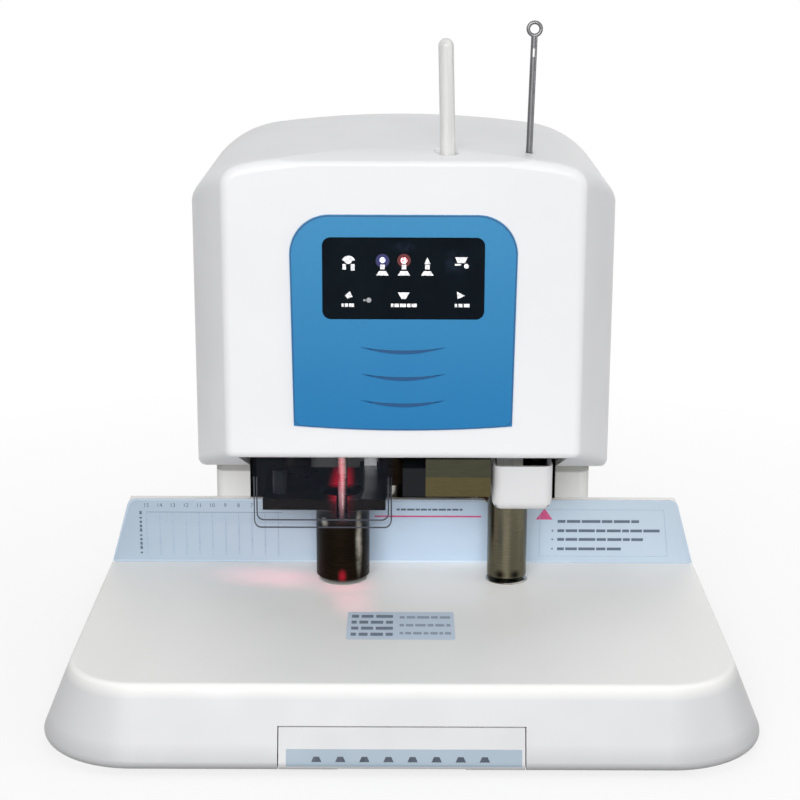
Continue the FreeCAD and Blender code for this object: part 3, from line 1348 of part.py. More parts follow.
def drill_spindle():
    """The hollow spindle with its pulley."""
    low = S.chuck_low + S.chuck_height
    rim = pulley_points(S.spindle_pulley, S.spindle_bore, S.pulley_low)
    shaft = turned("spindle_shaft", [
        (S.spindle_bore, low), (S.spindle_radius, low), (S.spindle_radius, S.pulley_low),
        *rim[1:]])
    place(shaft, DRILL_X, STATION_Y, 0)
    return sub_part(shaft, "drill_spindle")


def drill_chuck():
    low = S.chuck_low
    top = low + S.chuck_height
    nose = S.chuck_radius * 0.7
    body = turned("chuck_body", [
        (S.bit_radius, low), (nose, low), (S.chuck_radius, low + S.chuck_height * 0.3),
        (S.chuck_radius, top - S.foot_edge), (S.chuck_radius - S.foot_edge, top),
        (S.bit_bore, top), (S.bit_bore, low + S.shank_length), (S.shank_radius, low + S.shank_length),
        (S.shank_radius, low + S.foot_floor), (S.bit_radius, low + S.foot_floor)])
    place(body, DRILL_X, STATION_Y, 0)
    return sub_part(body, "drill_chuck")


def drill_bit():
    """The hollow drill: a thin tube with a bevelled cutting edge and a thicker shank."""
    seat = S.chuck_low + S.foot_floor
    top = S.chuck_low + S.shank_length
    edge = (S.bit_radius - S.bit_bore) * 2
    body = turned("bit_body", [
        (S.bit_bore, S.bit_tip), (S.bit_radius, S.bit_tip + edge), (S.bit_radius, seat),
        (S.shank_radius, seat), (S.shank_radius, top), (S.bit_bore, top)])
    place(body, DRILL_X, STATION_Y, 0)
    return sub_part(body, "hollow_drill_bit")


def drill_motor():
    top = S.carriage_low
    low = top - S.motor_height
    body = turned("motor_can", [
        (0, low), (S.motor_radius - S.motor_edge, low), (S.motor_radius, low + S.motor_edge),
        (S.motor_radius, top), (S.motor_shaft + S.shaft_slack, top),
        (S.motor_shaft + S.shaft_slack, top - S.shaft_seat), (0, top - S.shaft_seat)])
    place(body, -S.motor_side, S.motor_place, 0)
    slots = []
    count = int(S.motor_vent_count.value)
    for index in range(count):
        slot = box(f"motor_vent_{index}", (S.motor_radius - S.plate_thick, S.motor_radius + 1),
                   (-S.foot_edge, S.foot_edge),
                   (low + S.motor_edge * 3, low + S.motor_height / 2 - S.motor_edge))
        angle = 360.0 * index / count
        slot.Placement.Rotation = FreeCAD.Rotation(FreeCAD.Vector(0, 0, 1), angle)
        turn = math.radians(angle)
        reach = S.motor_radius - S.plate_thick
        place(slot,
              -S.motor_side + reach * math.cos(turn) + S.foot_edge * math.sin(turn),
              S.motor_place + reach * math.sin(turn) - S.foot_edge * math.cos(turn),
              low + S.motor_edge * 3)
        slots.append(slot)
    return sub_part(cut("motor_vented", body, *slots), "drill_motor")


def motor_pulley():
    low = S.carriage_low - S.shaft_seat + S.foot_edge
    wheel = turned("motor_wheel", [
        (0, low), (S.motor_shaft, low), (S.motor_shaft, S.pulley_low),
        *pulley_points(S.motor_pulley, S.motor_shaft, S.pulley_low)[1:-1],
        (0, S.pulley_low + S.pulley_height)])
    place(wheel, -S.motor_side, S.motor_place, 0)
    return sub_part(wheel, "motor_pulley")


def drive_belt():
    """The belt as a loop of two arcs and two tangent runs round the pulleys."""
    first = FreeCAD.Vector(DRILL_X.value, STATION_Y.value, 0)
    second = FreeCAD.Vector(-S.motor_side.value, S.motor_place.value, 0)
    low = S.pulley_low.value + S.pulley_flange.value * 1.5 + S.belt_gap.value
    height = S.pulley_height.value - S.pulley_flange.value * 3 - S.belt_gap.value * 2
    inner = belt_loop(first, second, S.spindle_pulley.value + S.belt_gap.value,
                      S.motor_pulley.value + S.belt_gap.value)
    reach = S.belt_gap.value + S.belt_thick.value
    outer = belt_loop(first, second, S.spindle_pulley.value + reach, S.motor_pulley.value + reach)
    band = Part.Face(outer).cut(Part.Face(inner)).extrude(FreeCAD.Vector(0, 0, height))
    band.translate(FreeCAD.Vector(0, 0, low))
    return sub_part(feature_from("belt_band", band), "drive_belt")


def belt_loop(first, second, first_radius, second_radius):
    """The wire that wraps two circles with outer tangents."""
    line = second - first
    heading = math.atan2(line.y, line.x)
    spread = math.acos((first_radius - second_radius) / line.Length)
    edges = []

    def rim(centre, radius, angle):
        return centre + FreeCAD.Vector(math.cos(angle), math.sin(angle), 0) * radius

    upper, lower = heading + spread, heading - spread
    edges.append(Part.LineSegment(rim(first, first_radius, lower),
                                  rim(second, second_radius, lower)).toShape())
    edges.append(Part.Arc(rim(second, second_radius, lower), rim(second, second_radius, heading),
                          rim(second, second_radius, upper)).toShape())
    edges.append(Part.LineSegment(rim(second, second_radius, upper),
                                  rim(first, first_radius, upper)).toShape())
    edges.append(Part.Arc(rim(first, first_radius, upper), rim(first, first_radius, heading + math.pi),
                          rim(first, first_radius, lower)).toShape())
    return Part.Wire(edges)


def drill_guard():
    """The clear guard round the drill foot, hung from the head's front wall."""
    x = (-S.guard_left, -S.guard_right)
    y = (-S.guard_front, S.guard_rear)
    outer = box("guard_block", x, y, (S.guard_low, S.guard_top))

    def outer_corner(edge):
        b = edge.BoundBox
        upright = along(edge, "z") and near(b.YMin, y[0])
        low_side = along(edge, "y") and near(b.ZMin, S.guard_low)
        return upright or low_side

    soft = rounded("guard_soft", outer, S.guard_round, outer_corner)
    wall = S.guard_wall
    room = box("guard_room", (x[0] + wall, x[1] - wall), (y[0] + wall, y[1] + 1),
               (S.guard_low + wall, S.guard_top + 1))
    open_floor = box("guard_floor_gap", (x[0] + wall, x[1] - wall), (S.guard_shelf, y[1] + 1),
                     (S.guard_low - 1, S.guard_low + wall + 1))
    foot_gap = cylinder("guard_foot_gap_cut", S.foot_radius + S.guard_foot_gap, S.guard_low - 1,
                        S.guard_low + wall + 1, (DRILL_X, STATION_Y))
    open_box = cut("guard_open", soft, room, open_floor, foot_gap)
    inset = S.guard_flange_inset
    flange = box("guard_flange", (x[0] + inset, x[1] - inset),
                 (S.head_wall - S.head_front, y[0] + wall), (S.guard_top - wall, S.guard_top))
    return sub_part(fuse("guard_full", open_box, flange), "drill_guard")


def drill_pad():
    top = TABLE
    disc = turned("pad_disc", [
        (0, top - S.pad_thick), (S.pad_radius, top - S.pad_thick),
        (S.pad_radius, top - S.foot_edge / 2), (S.pad_radius - S.foot_edge / 2, top), (0, top)])
    place(disc, DRILL_X, STATION_Y, 0)
    return sub_part(disc, "drill_pad")


# ---------------------------------------------------------------- rivet station

def rivet_foot():
    low = FOOT_LOW
    top = S.rivet_plate_low
    tube = turned("rivet_tube", [
        (S.rivet_bore, low), (S.rivet_radius - S.foot_edge, low), (S.rivet_radius, low + S.foot_edge),
        (S.rivet_radius, top), (S.rivet_bore, top)])
    place(tube, RIVET_X, STATION_Y, 0)
    plate_top = top + S.rivet_plate_thick
    front = box("rivet_plate_front_block", (S.rivet_plate_left, S.rivet_plate_right),
                (-S.rivet_plate_front, S.foot_plate_rear), (top, plate_top))
    rear = box("rivet_plate_rear_block", (RIVET_RODS[0] - BOSS_RADIUS, RIVET_RODS[1] + BOSS_RADIUS),
               (S.rod_place - BOSS_RADIUS, S.foot_plate_rear), (top, plate_top))
    tab = box("rivet_rack_tab",
              (S.rivet_rack_side - S.gear_width / 2 - S.tab_side,
               S.rivet_rack_side + S.gear_width / 2 + S.tab_side),
              (S.rod_place, S.rack_pitch_line - S.gear_module - S.running_gap), (top, plate_top))
    boss_top = top + S.rivet_boss_height
    bosses = [cylinder(f"rivet_boss_{index}", BOSS_RADIUS, top, boss_top, (x, S.rod_place))
              for index, x in enumerate(RIVET_RODS)]
    bore = cylinder("rivet_bore_cut", S.rivet_bore, top - 1, plate_top + 1, (RIVET_X, STATION_Y))
    seats = bush_seats("rivet", RIVET_RODS, top, boss_top)
    full = fuse("rivet_full", tube, front, rear, tab, *bosses)
    return sub_part(cut("rivet_cut", full, bore, *seats), "rivet_press_foot")


def rivet_bushings():
    sleeves = bushings("rivet_sleeve_bush", RIVET_RODS, S.rivet_plate_low,
                       S.rivet_plate_low + S.rivet_boss_height)
    return sub_part(group("rivet_bush_pair", *sleeves), "rivet_bushings")


def rivet_cover():
    """The white cover on the front of the rivet foot's carrier, open behind and above."""
    wall = S.cover_wall
    front = -S.rivet_plate_front - wall
    outer = box("rivet_cover_block", (S.rivet_plate_left - wall, S.rivet_plate_right + wall),
                (front, -S.cover_rear), (S.cover_bottom, S.cover_top))

    def outer_corner(edge):
        b = edge.BoundBox
        return ((along(edge, "z") and near(b.YMin, front))
                or (along(edge, "y") and near(b.ZMin, S.cover_bottom))
                or (along(edge, "x") and near(b.ZMin, S.cover_bottom)
                    and near(b.YMin, front)))

    soft = rounded("rivet_cover_soft", outer, S.cover_round, outer_corner)
    room = box("rivet_cover_room", (S.rivet_plate_left, S.rivet_plate_right),
               (-S.rivet_plate_front, 1 - S.cover_rear), (S.cover_bottom + wall, S.cover_top + 1))
    return sub_part(cut("rivet_cover_cut", soft, room), "rivet_cover")


def rivet_ram():
    """The heated ram: a slim die tip under a heater body and a spring collar."""
    shoulder = S.ram_tip + S.ram_tip_length
    ram = turned("ram_body", [
        (0, S.ram_tip + S.foot_edge), (S.ram_tip_radius / 2, S.ram_tip),
        (S.ram_tip_radius, S.ram_tip), (S.ram_tip_radius, shoulder),
        (S.ram_radius, shoulder + S.foot_edge), (S.ram_radius, S.ram_top),
        (S.collar_radius, S.ram_top), (S.collar_radius, S.ram_top + S.collar_thick),
        (S.ram_radius, S.ram_top + S.collar_thick),
        (S.ram_radius, S.solenoid_low + S.ram_stroke + S.foot_edge),
        (0, S.solenoid_low + S.ram_stroke + S.foot_edge)])
    place(ram, RIVET_X, STATION_Y, 0)
    return sub_part(ram, "rivet_ram")


def ram_spring():
    """The ram's return spring, wound from square wire, from carrier plate to collar."""
    low = S.rivet_plate_low.value + S.rivet_plate_thick.value + S.running_gap.value
    high = S.ram_top.value - S.running_gap.value
    wire = S.spring_wire.value / 2
    radius = S.spring_radius.value
    pitch = (high - low - 2 * wire) / S.spring_turns.value
    helix = Part.makeHelix(pitch, pitch * S.spring_turns.value, radius)
    corners = [FreeCAD.Vector(radius + side * wire, 0, rise * wire)
               for side, rise in ((-1, -1), (1, -1), (1, 1), (-1, 1), (-1, -1))]
    coil = Part.Wire(helix).makePipeShell([Part.makePolygon(corners)], True, True)
    coil.translate(FreeCAD.Vector(RIVET_X.value, STATION_Y.value, low + wire))
    return sub_part(feature_from("ram_coil", coil), "ram_spring")


def ram_solenoid():
    """The solenoid in its steel strap, which stands on the carrier plate."""
    half = S.solenoid_width / 2
    top = S.solenoid_low + S.solenoid_height
    block = box("solenoid_block", (RIVET_X - half, RIVET_X + half),
                (STATION_Y - half, STATION_Y + half), (S.solenoid_low, top))
    low = S.rivet_plate_low + S.rivet_plate_thick
    x = (RIVET_X - S.strap_width / 2, RIVET_X + S.strap_width / 2)
    strap = box("strap_block", x,
                (STATION_Y - half - S.strap_thick, STATION_Y + half + S.strap_thick),
                (low, top + S.strap_thick))
    strap_room = box("strap_room", (x[0] - 1, x[1] + 1), (STATION_Y - half, STATION_Y + half),
                     (low - 1, top))
    bore = cylinder("solenoid_bore", S.ram_radius + S.shaft_slack, S.solenoid_low - 1,
                    S.solenoid_low + S.ram_stroke * 3, (RIVET_X, STATION_Y))
    full = fuse("solenoid_full", block, cut("strap_cut", strap, strap_room))
    return sub_part(cut("solenoid_cut", full, bore), "ram_solenoid")


def lower_die():
    top = TABLE + S.die_rise
    seat = top - S.die_thick
    die = turned("die_body", [
        (0, BED_TOP - S.base_wall), (S.die_nub, BED_TOP - S.base_wall), (S.die_nub, seat),
        (S.die_radius, seat), (S.die_radius, top - S.foot_edge / 2),
        (S.die_radius - S.foot_edge / 2, top), (S.die_nub, top), (0, top + S.die_nub_rise)])
    place(die, RIVET_X, STATION_Y, 0)
    return sub_part(die, "lower_rivet_die")


def lower_heater():
    top = TABLE + S.die_rise - S.die_thick
    block = cylinder("heater_block", S.heater_radius, BED_TOP, top, (RIVET_X, STATION_Y))
    bore = cylinder("heater_bore", S.die_nub, BED_TOP - 1, top + 1, (RIVET_X, STATION_Y))
    return sub_part(cut("heater_cut", block, bore), "die_heater")


# ---------------------------------------------------------------- tube station

def leaning_bar(name, radius, low, high):
    """A round bar on the rivet tube's own leaning axis."""
    bar = cylinder(name, radius, low, high, (tube_x(low), -S.tube_place))
    return lean(bar, -S.tube_lean)


def cutter_guide():
    """The bronze guide under the blade."""
    top = S.cutter_low + S.cutter_thick
    block = box("cutter_guide_block", (S.cutter_left, S.cutter_right),
                (-S.cutter_front, -S.cutter_rear), (S.cutter_low, top))
    bore = leaning_bar("cutter_guide_bore", S.tube_radius + S.guide_slack, S.cutter_low - 2, top + 2)
    return sub_part(cut("cutter_guide_cut", block, bore), "cutter_guide")


def cutter_block():
    """The steel block over the blade, with the blade's channel on its underside."""
    low = S.cutter_low + S.cutter_thick
    channel = S.blade_thick + S.blade_gap * 2
    block = box("cutter_block_body", (S.cutter_left, S.cutter_right),
                (-S.cutter_front, -S.cutter_rear), (low, low + channel + S.block_thick))
    half = S.blade_width / 2 + S.blade_gap
    slide = box("cutter_channel", (S.cutter_left - 1, S.cutter_right + 1),
                (-S.tube_place - half, half - S.tube_place), (low - 1, low + channel))
    bore = leaning_bar("cutter_block_bore", S.tube_radius + S.guide_slack, low - 2,
                       low + channel + S.block_thick + 2)
    return sub_part(cut("cutter_block_cut", block, slide, bore), "cutter_block")


BLADE_LOW = S.cutter_low + S.cutter_thick + S.blade_gap
CUT_X = tube_x(BLADE_LOW)


def cutter_blade():
    """A flat blade with a slanted edge, pushed across the tube from the left."""
    body = new_body("blade_body")
    plan = new_sketch(body, "XY_Plane", "blade_plan", BLADE_LOW)
    edge = CUT_X - S.tube_radius - S.guide_slack - S.running_gap
    half = S.blade_width / 2
    left = S.arm_width / 2
    profile(plan, [
        (left, -S.tube_place - half), (edge - S.blade_edge, -S.tube_place - half),
        (edge, half - S.tube_place), (left, half - S.tube_place)])
    pad(body, plan, S.blade_thick)
    return sub_part(body, "cutter_blade")


def cutter_actuator():
    """The blade's black solenoid beside the cutter, open where the blade slides in."""
    block = box("actuator_block", (as_size(0), S.cutter_left),
                (-S.cutter_front, S.actuator_rear - S.tube_place),
                (S.actuator_low, S.actuator_low + S.actuator_height))
    half = S.blade_width / 2 + S.blade_gap
    slot = box("actuator_slot", (S.arm_width / 2 - S.running_gap, S.cutter_left + 1),
               (-S.tube_place - half, half - S.tube_place),
               (BLADE_LOW - S.blade_gap, BLADE_LOW + S.blade_thick + S.blade_gap))
    return sub_part(cut("actuator_cut", block, slot), "cutter_actuator")


ROLLER_REACH = S.tube_radius + S.roller_gap + S.roller_radius
ROLLER_Y = (-S.tube_place - S.roller_width / 2, S.roller_width / 2 - S.tube_place)


def feed_roller(label, sign):
    x = tube_x(S.roller_height) + sign * ROLLER_REACH
    tyre = cylinder(label + "_tyre", S.roller_radius, *ROLLER_Y, (x, S.roller_height), "y")
    shaft = cylinder(label + "_shaft", S.roller_shaft, ROLLER_Y[0] - S.running_gap,
                     ROLLER_Y[1] + S.cheek_thick + S.foot_edge, (x, S.roller_height), "y")
    return sub_part(fuse(label + "_set", tyre, shaft), label)


def roller_bracket():
    """The bracket behind the rollers, standing on the cutter block and holding the guide."""
    y = (ROLLER_Y[1] + S.running_gap, ROLLER_Y[1] + S.running_gap + S.cheek_thick)
    low = S.cutter_low + S.cutter_thick + S.blade_thick + S.blade_gap * 2 + S.block_thick
    middle = tube_x(S.roller_height)
    reach = ROLLER_REACH + S.roller_radius
    plate = box("roller_plate", (middle - reach, S.cutter_right), y,
                (low, S.guide_low + S.cheek_thick * 2))
    shelf = box("roller_shelf", (middle - S.roller_radius * 2, middle + S.roller_radius * 2),
                (-S.tube_place - S.guide_radius - 1, y[1]), (S.guide_low, S.guide_low + S.cheek_thick))
    hole = leaning_bar("roller_shelf_hole", S.guide_radius, S.guide_low - 1,
                       S.guide_low + S.cheek_thick + 2)
    shafts = [cylinder(f"roller_hole_{sign + 1}", S.roller_shaft + S.shaft_slack, y[0] - 1, y[1] + 1,
                       (middle + sign * ROLLER_REACH, S.roller_height), "y") for sign in (-1, 1)]
    return sub_part(cut("roller_bracket_cut", fuse("roller_bracket_full", plate, shelf), hole,
                        *shafts), "roller_bracket")


def feed_motor():
    start = ROLLER_Y[1] + S.running_gap + S.cheek_thick
    x = tube_x(S.roller_height) - ROLLER_REACH
    can = cylinder("feed_motor_can", S.feed_motor_radius, start, start + S.feed_motor_length,
                   (x, S.roller_height), "y")
    bore = cylinder("feed_motor_bore", S.roller_shaft + S.shaft_slack, start - 1,
                    start + S.foot_edge * 2, (x, S.roller_height), "y")
    return sub_part(cut("feed_motor_cut", can, bore), "tube_feed_motor")


def tube_guide():
    """The guide pipe from the head's top down to the rollers."""
    top = S.head_top - S.funnel_deep - S.foot_edge
    pipe = leaning_bar("guide_pipe", S.guide_radius, S.guide_low, top)
    bore = leaning_bar("guide_pipe_bore", S.tube_radius + S.guide_slack, S.guide_low - 2, top + 2)
    return sub_part(cut("guide_pipe_cut", pipe, bore), "tube_guide")


def nylon_tube():
    """The nylon rivet tube: open below, its upper end melted round."""
    body = turned("tube_body", [
        (S.tube_bore, 0), (S.tube_radius, 0),
        (S.tube_radius, S.tube_top - BLADE_TOP - S.tube_radius),
        (0, S.tube_top - BLADE_TOP), (0, S.tube_top - BLADE_TOP - S.foot_edge * 2),
        (S.tube_bore, S.tube_top - BLADE_TOP - S.tube_radius)],
        {2: S.tube_radius})
    body.Placement = FreeCAD.Placement(
        FreeCAD.Vector(), FreeCAD.Rotation(FreeCAD.Vector(0, 1, 0), -S.tube_lean.value))
    place(body, tube_x(BLADE_TOP), -S.tube_place, BLADE_TOP)
    bind(body, ".Placement.Rotation.Angle", -S.tube_lean)
    return sub_part(body, "nylon_tube")


BLADE_TOP = BLADE_LOW + S.blade_thick + S.running_gap


# ---------------------------------------------------------------- cleaning rod

def cleaning_rod():
    """The rod that clears the hollow drill: a straight rod with a bent ring on top."""
    rod = cylinder("needle_bar", S.needle_radius, as_size(0), S.needle_ring - S.ring_radius
                   - S.needle_low, (0, 0))
    ring = doc.addObject("Part::Torus", "needle_ring_loop")
    bind(ring, "Radius1", S.ring_radius)
    bind(ring, "Radius2", S.ring_wire)
    ring.Placement = FreeCAD.Placement(
        FreeCAD.Vector(), FreeCAD.Rotation(FreeCAD.Vector(1, 0, 0), 90))
    place(ring, 0, 0, S.needle_ring - S.needle_low)
    eye = box("needle_eye", (-S.needle_radius / 3, S.needle_radius / 3),
              (-S.needle_radius * 2, S.needle_radius * 2),
              (S.eye_height - S.eye_length - S.needle_low, S.eye_height - S.needle_low))
    full = fuse("needle_full", cut("needle_pierced", rod, eye), ring)
    leaning = doc.addObject("Part::Compound", "needle_leaning")
    leaning.Links = [full]
    lean(leaning, S.needle_lean)
    place(leaning, needle_x(S.needle_low), -S.needle_place, S.needle_low)
    return sub_part(leaning, "cleaning_rod")


def rod_holder():
    top = S.head_top - S.holder_drop
    x = needle_x(S.holder_low)
    outside = lean(cylinder("holder_pipe", S.holder_radius, S.holder_low, top,
                            (x, -S.needle_place)), S.needle_lean)
    bore_low = S.needle_low - S.running_gap
    bore = lean(cylinder("holder_bore", S.needle_radius + S.holder_slack, bore_low, top + 4,
                         (needle_x(bore_low), -S.needle_place)), S.needle_lean)
    return sub_part(cut("holder_cut", outside, bore), "rod_holder")


# ---------------------------------------------------------------- rear services

def socket_backing():
    """The steel tab behind the rear opening that carries the inlet and the switch."""
    y = (BACKING_Y - S.backing_thick, BACKING_Y)
    low = S.foot_gap + S.bottom_thick
    plate = box("backing_block", (S.port_left - S.backing_lap, S.port_right + S.backing_lap), y,
                (low, S.port_top + S.backing_lap))
    inlet = box("backing_inlet_hole", *inlet_span())
    switch = box("backing_switch_hole", *switch_span())
    return sub_part(cut("backing_cut", plate, inlet, switch), "socket_backing")


def inlet_span():
    half = S.inlet_width / 2
    tall = S.inlet_height / 2
    return ((S.inlet_side - half, S.inlet_side + half),
            (BACKING_Y - S.inlet_deep, BACKING_Y + 1),
            (S.inlet_middle - tall, S.inlet_middle + tall))


def switch_span():
    half = S.switch_width / 2
    tall = S.switch_height / 2
    return ((S.switch_side - half, S.switch_side + half),
            (BACKING_Y - S.inlet_deep, BACKING_Y + 1),
            (S.inlet_middle - tall, S.inlet_middle + tall))


def recessed_cup(name, span, wall):
    """A rectangular cup behind the backing, with a flange on the backing's rear face."""
    x, y, z = span
    rim = S.inlet_rim
    body = box(name + "_body", x, (y[0], BACKING_Y), z)
    flange = box(name + "_flange", (x[0] - rim, x[1] + rim),
                 (BACKING_Y, BACKING_Y + S.inlet_flange), (z[0] - rim, z[1] + rim))
    room = box(name + "_room", (x[0] + wall, x[1] - wall),
               (BACKING_Y - S.socket_deep, BACKING_Y + S.inlet_flange + 1),
               (z[0] + wall, z[1] - wall))
    return cut(name, fuse(name + "_full", body, flange), room)


def power_inlet():
    """The mains socket, with the rocker's frame beside it."""
    socket = recessed_cup("inlet_cup", inlet_span(), S.inlet_rim)
    pins = []
    places = ((-S.pin_spread, -S.pin_drop), (S.pin_spread, -S.pin_drop), (0, S.pin_rise))
    for index, (across, up) in enumerate(places):
        x_pin = S.inlet_side + across
        z_pin = S.inlet_middle + up
        pins.append(box(f"inlet_pin_{index}", (x_pin - S.pin_thick / 2, x_pin + S.pin_thick / 2),
                        (BACKING_Y - S.socket_deep - 1, BACKING_Y - S.socket_deep / 4),
                        (z_pin - S.pin_width / 2, z_pin + S.pin_width / 2)))
    switch = recessed_cup("switch_cup", switch_span(), S.switch_wall)
    return sub_part(group("inlet_set", fuse("inlet_with_pins", socket, *pins), switch),
                    "power_inlet")


def rocker():
    """The rocker: a shallow V whose upper half is pressed in, tilted to its ON side."""
    body = new_body("rocker_body")
    half = S.switch_width / 2 - S.switch_wall - S.rocker_gap
    tall = S.switch_height / 2 - S.switch_wall - S.rocker_gap
    side = new_sketch(body, "YZ_Plane", "rocker_side", -half)
    rise = S.rocker_crest
    tail = tall / 2
    profile(side, [
        (-rise * 2, -tail), (-rise, -tall), (rise, -tall), (0, 0), (rise, tall), (-rise, tall),
        (-rise * 2, tail)])
    pad(body, side, half * 2)
    body.Placement = FreeCAD.Placement(
        FreeCAD.Vector(), FreeCAD.Rotation(FreeCAD.Vector(1, 0, 0), S.rocker_throw.value))
    place(body, S.switch_side, BACKING_Y, S.inlet_middle)
    bind(body, ".Placement.Rotation.Angle", S.rocker_throw)
    return sub_part(body, "power_rocker")


# ---------------------------------------------------------------- electronics

def main_board():
    half = S.main_board_width / 2
    board = box("main_board_plate", (-half, half),
                (S.main_board_place, S.main_board_place + S.board_thick),
                (S.main_board_low, S.main_board_low + S.main_board_height))
    posts = []
    inset = S.standoff_radius * 2
    for index, (sx, sz) in enumerate(((-1, 0), (1, 0), (-1, 1), (1, 1))):
        height = (S.main_board_low + inset if sz == 0
                  else S.main_board_low + S.main_board_height - inset)
        posts.append(cylinder(f"main_post_{index}", S.standoff_radius,
                              S.frame_rear + S.frame_rear_thick, S.main_board_place,
                              (sx * (half - inset), height), "y"))
    return fuse("main_board", board, *posts)


def circuit_boards():
    return sub_part(group("boards", panel_board(), main_board()), "circuit_boards")


def transformer():
    x = (S.core_side - S.core_width / 2, S.core_side + S.core_width / 2)
    y = (S.core_place - S.core_depth / 2, S.core_place + S.core_depth / 2)
    core = box("transformer_core", x, y, (BED_TOP, BED_TOP + S.core_height))
    winding = box("transformer_winding", (x[0] + S.winding_proud, x[1] - S.winding_proud),
                  (y[0] - S.winding_proud, y[1] + S.winding_proud),
                  (BED_TOP + S.winding_proud, BED_TOP + S.core_height - S.winding_proud))
    return sub_part(fuse("transformer_set", core, winding), "transformer")


# ---------------------------------------------------------------- assembly

def build():
    outer = base_outer()
    base_shell(outer)
    bottom_plate()
    rubber_feet()
    fence_film()
    drawer(outer)
    neck_shell("ridge")
    head_shell()
    rear_cover()
    cover_screws()
    control_panel()
    display_window()
    circuit_boards()
    head_frame()
    bed_plate()
    centre_plate()
    shaft_brackets()
    guide_rods()
    drill_foot()
    foot_bushings()
    laser_module()
    rack("foot_rack", -S.foot_rack_side, S.rack_back, S.foot_plate_low + S.foot_plate_thick,
         S.press_shaft_height + S.gear_module * 5, S.press_shaft_height)
    drill_carriage()
    carriage_bearings()
    rack("feed_rack", -S.drill_rack_side, S.rack_back,
         FEED_SHAFT_Z - S.press_travel - S.gear_module * 4,
         FEED_SHAFT_Z + S.feed_down + S.gear_module * 4, FEED_SHAFT_Z)
    drill_spindle()
    drill_chuck()
    drill_bit()
    drill_motor()
    motor_pulley()
    drive_belt()
    drill_guard()
    drill_pad()
    press_shaft()
    feed_shaft()
    gear_motors()
    rivet_foot()
    rivet_bushings()
    rack("rivet_rack", S.rivet_rack_side, S.rack_back, S.rivet_plate_low + S.rivet_plate_thick,
         S.press_shaft_height + S.gear_module * 5, S.press_shaft_height)
    rivet_cover()
    rivet_ram()
    ram_spring()
    ram_solenoid()
    lower_die()
    lower_heater()
    cutter_guide()
    cutter_block()
    cutter_blade()
    cutter_actuator()
    feed_roller("feed_roller", -1)
    feed_roller("idler_roller", 1)
    roller_bracket()
    feed_motor()
    tube_guide()
    nylon_tube()
    cleaning_rod()
    rod_holder()
    socket_backing()
    power_inlet()
    rocker()
    transformer()


def check():
    """Every object is sound, and every sub-part is a valid, non-empty shape."""
    faults = []
    for item in doc.Objects:
        if "Invalid" in item.State or "Error" in item.State:
            faults.append(f"{item.Label}: {item.State}")
    for piece in SUB_PARTS:
        if piece.Shape.isNull() or not piece.Shape.isValid() or not piece.Shape.Solids:
            faults.append(f"{piece.Label}: no valid solid")
    if faults:
        raise RuntimeError("\n".join(faults))


def export():
    os.makedirs("parts", exist_ok=True)
    for piece in SUB_PARTS:
        piece.Shape.exportStep(f"parts/{piece.Label}.step")


build()
doc.recompute()
check()
export()
print(f"{len(SUB_PARTS)} sub-parts written")
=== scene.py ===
import math

import bmesh
import bpy
from mathutils import Matrix, Vector
from mathutils.bvhtree import BVHTree


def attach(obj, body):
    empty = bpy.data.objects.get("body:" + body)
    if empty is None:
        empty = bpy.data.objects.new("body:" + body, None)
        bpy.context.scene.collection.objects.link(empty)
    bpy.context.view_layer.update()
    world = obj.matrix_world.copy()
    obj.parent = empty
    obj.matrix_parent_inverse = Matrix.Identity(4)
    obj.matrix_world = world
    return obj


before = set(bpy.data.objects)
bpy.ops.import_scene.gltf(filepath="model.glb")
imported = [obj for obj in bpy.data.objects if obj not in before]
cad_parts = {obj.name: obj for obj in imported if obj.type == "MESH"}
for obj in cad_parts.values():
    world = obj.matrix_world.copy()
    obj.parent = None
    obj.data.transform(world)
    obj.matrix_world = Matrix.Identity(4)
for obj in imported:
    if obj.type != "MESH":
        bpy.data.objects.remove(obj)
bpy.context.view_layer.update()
MM = 0.001
SCENE = bpy.context.scene

# The camera fitted to the photograph: lens and sensor in millimetres, sideways shift as a share
# of the picture, nearest distance and place in metres, tilt and roll in degrees.
LENS = 84.15
SENSOR = 36
PICTURE_SHIFT = -3 / 800
NEAREST = 0.05
CAMERA_PLACE = (0, -1.1017, 0.462)
CAMERA_TILT = 75
CAMERA_ROLL = 0.2

# Each lamp's name, place, target, width and height in metres, watts, and whether a shiny
# surface mirrors it. The world's light falls from all sides.
LAMPS = (("front_key", (-0.25, -2.28, 0.97), (0, 0, 0.18), 1.6, 1.2, 42, True),
         ("rear_fill", (0.4, 2.2, 0.45), (0, 0, 0.15), 1.6, 1.0, 20, False),
         ("right_strip", (1.5, -0.38, 0.40), (0, 0, 0.12), 0.1, 1.4, 4, True))
WORLD_LIGHT = 0.47

# The floor's half side and its drop below the feet, in metres; the share of light that it
# throws back; and its own white near the part and far from it, with the two distances.
FLOOR_HALF = 12
FLOOR_DROP = 0.0002
FLOOR_BOUNCE = 0.12
FLOOR_GLOW = (0.74, 1.0)
FLOOR_FADE = (0.22, 0.7)

# Places on the part, in metres: the drill's and the rivet's axes (x, y), the fence's face (y),
# the table's top (z), the heights between which painted shade darkens the neck, and how far
# apart two places may be that count as the same.
DRILL = (-0.0374, 0.011)
RIVET = (0.0656, 0.011)
FENCE_FACE = 0.0387
TABLE_HEIGHT = 0.048
NECK_SHADE = (0.1064, 0.1076)
SAME_PLACE = 0.0006

# Colours and roughnesses that several finishes share, and the roughness of every noise.
BLACK = (0, 0, 0)
WHITE = (1, 1, 1)
SHELL_COLOUR = (0.86, 0.865, 0.88)
SHELL_ROUGH = 0.42
TABLE_COLOUR = (0.925, 0.92, 0.90)
GREY_COLOUR = (0.70, 0.70, 0.69)
GREY_ROUGH = 0.5
NOISE_ROUGH = 0.55

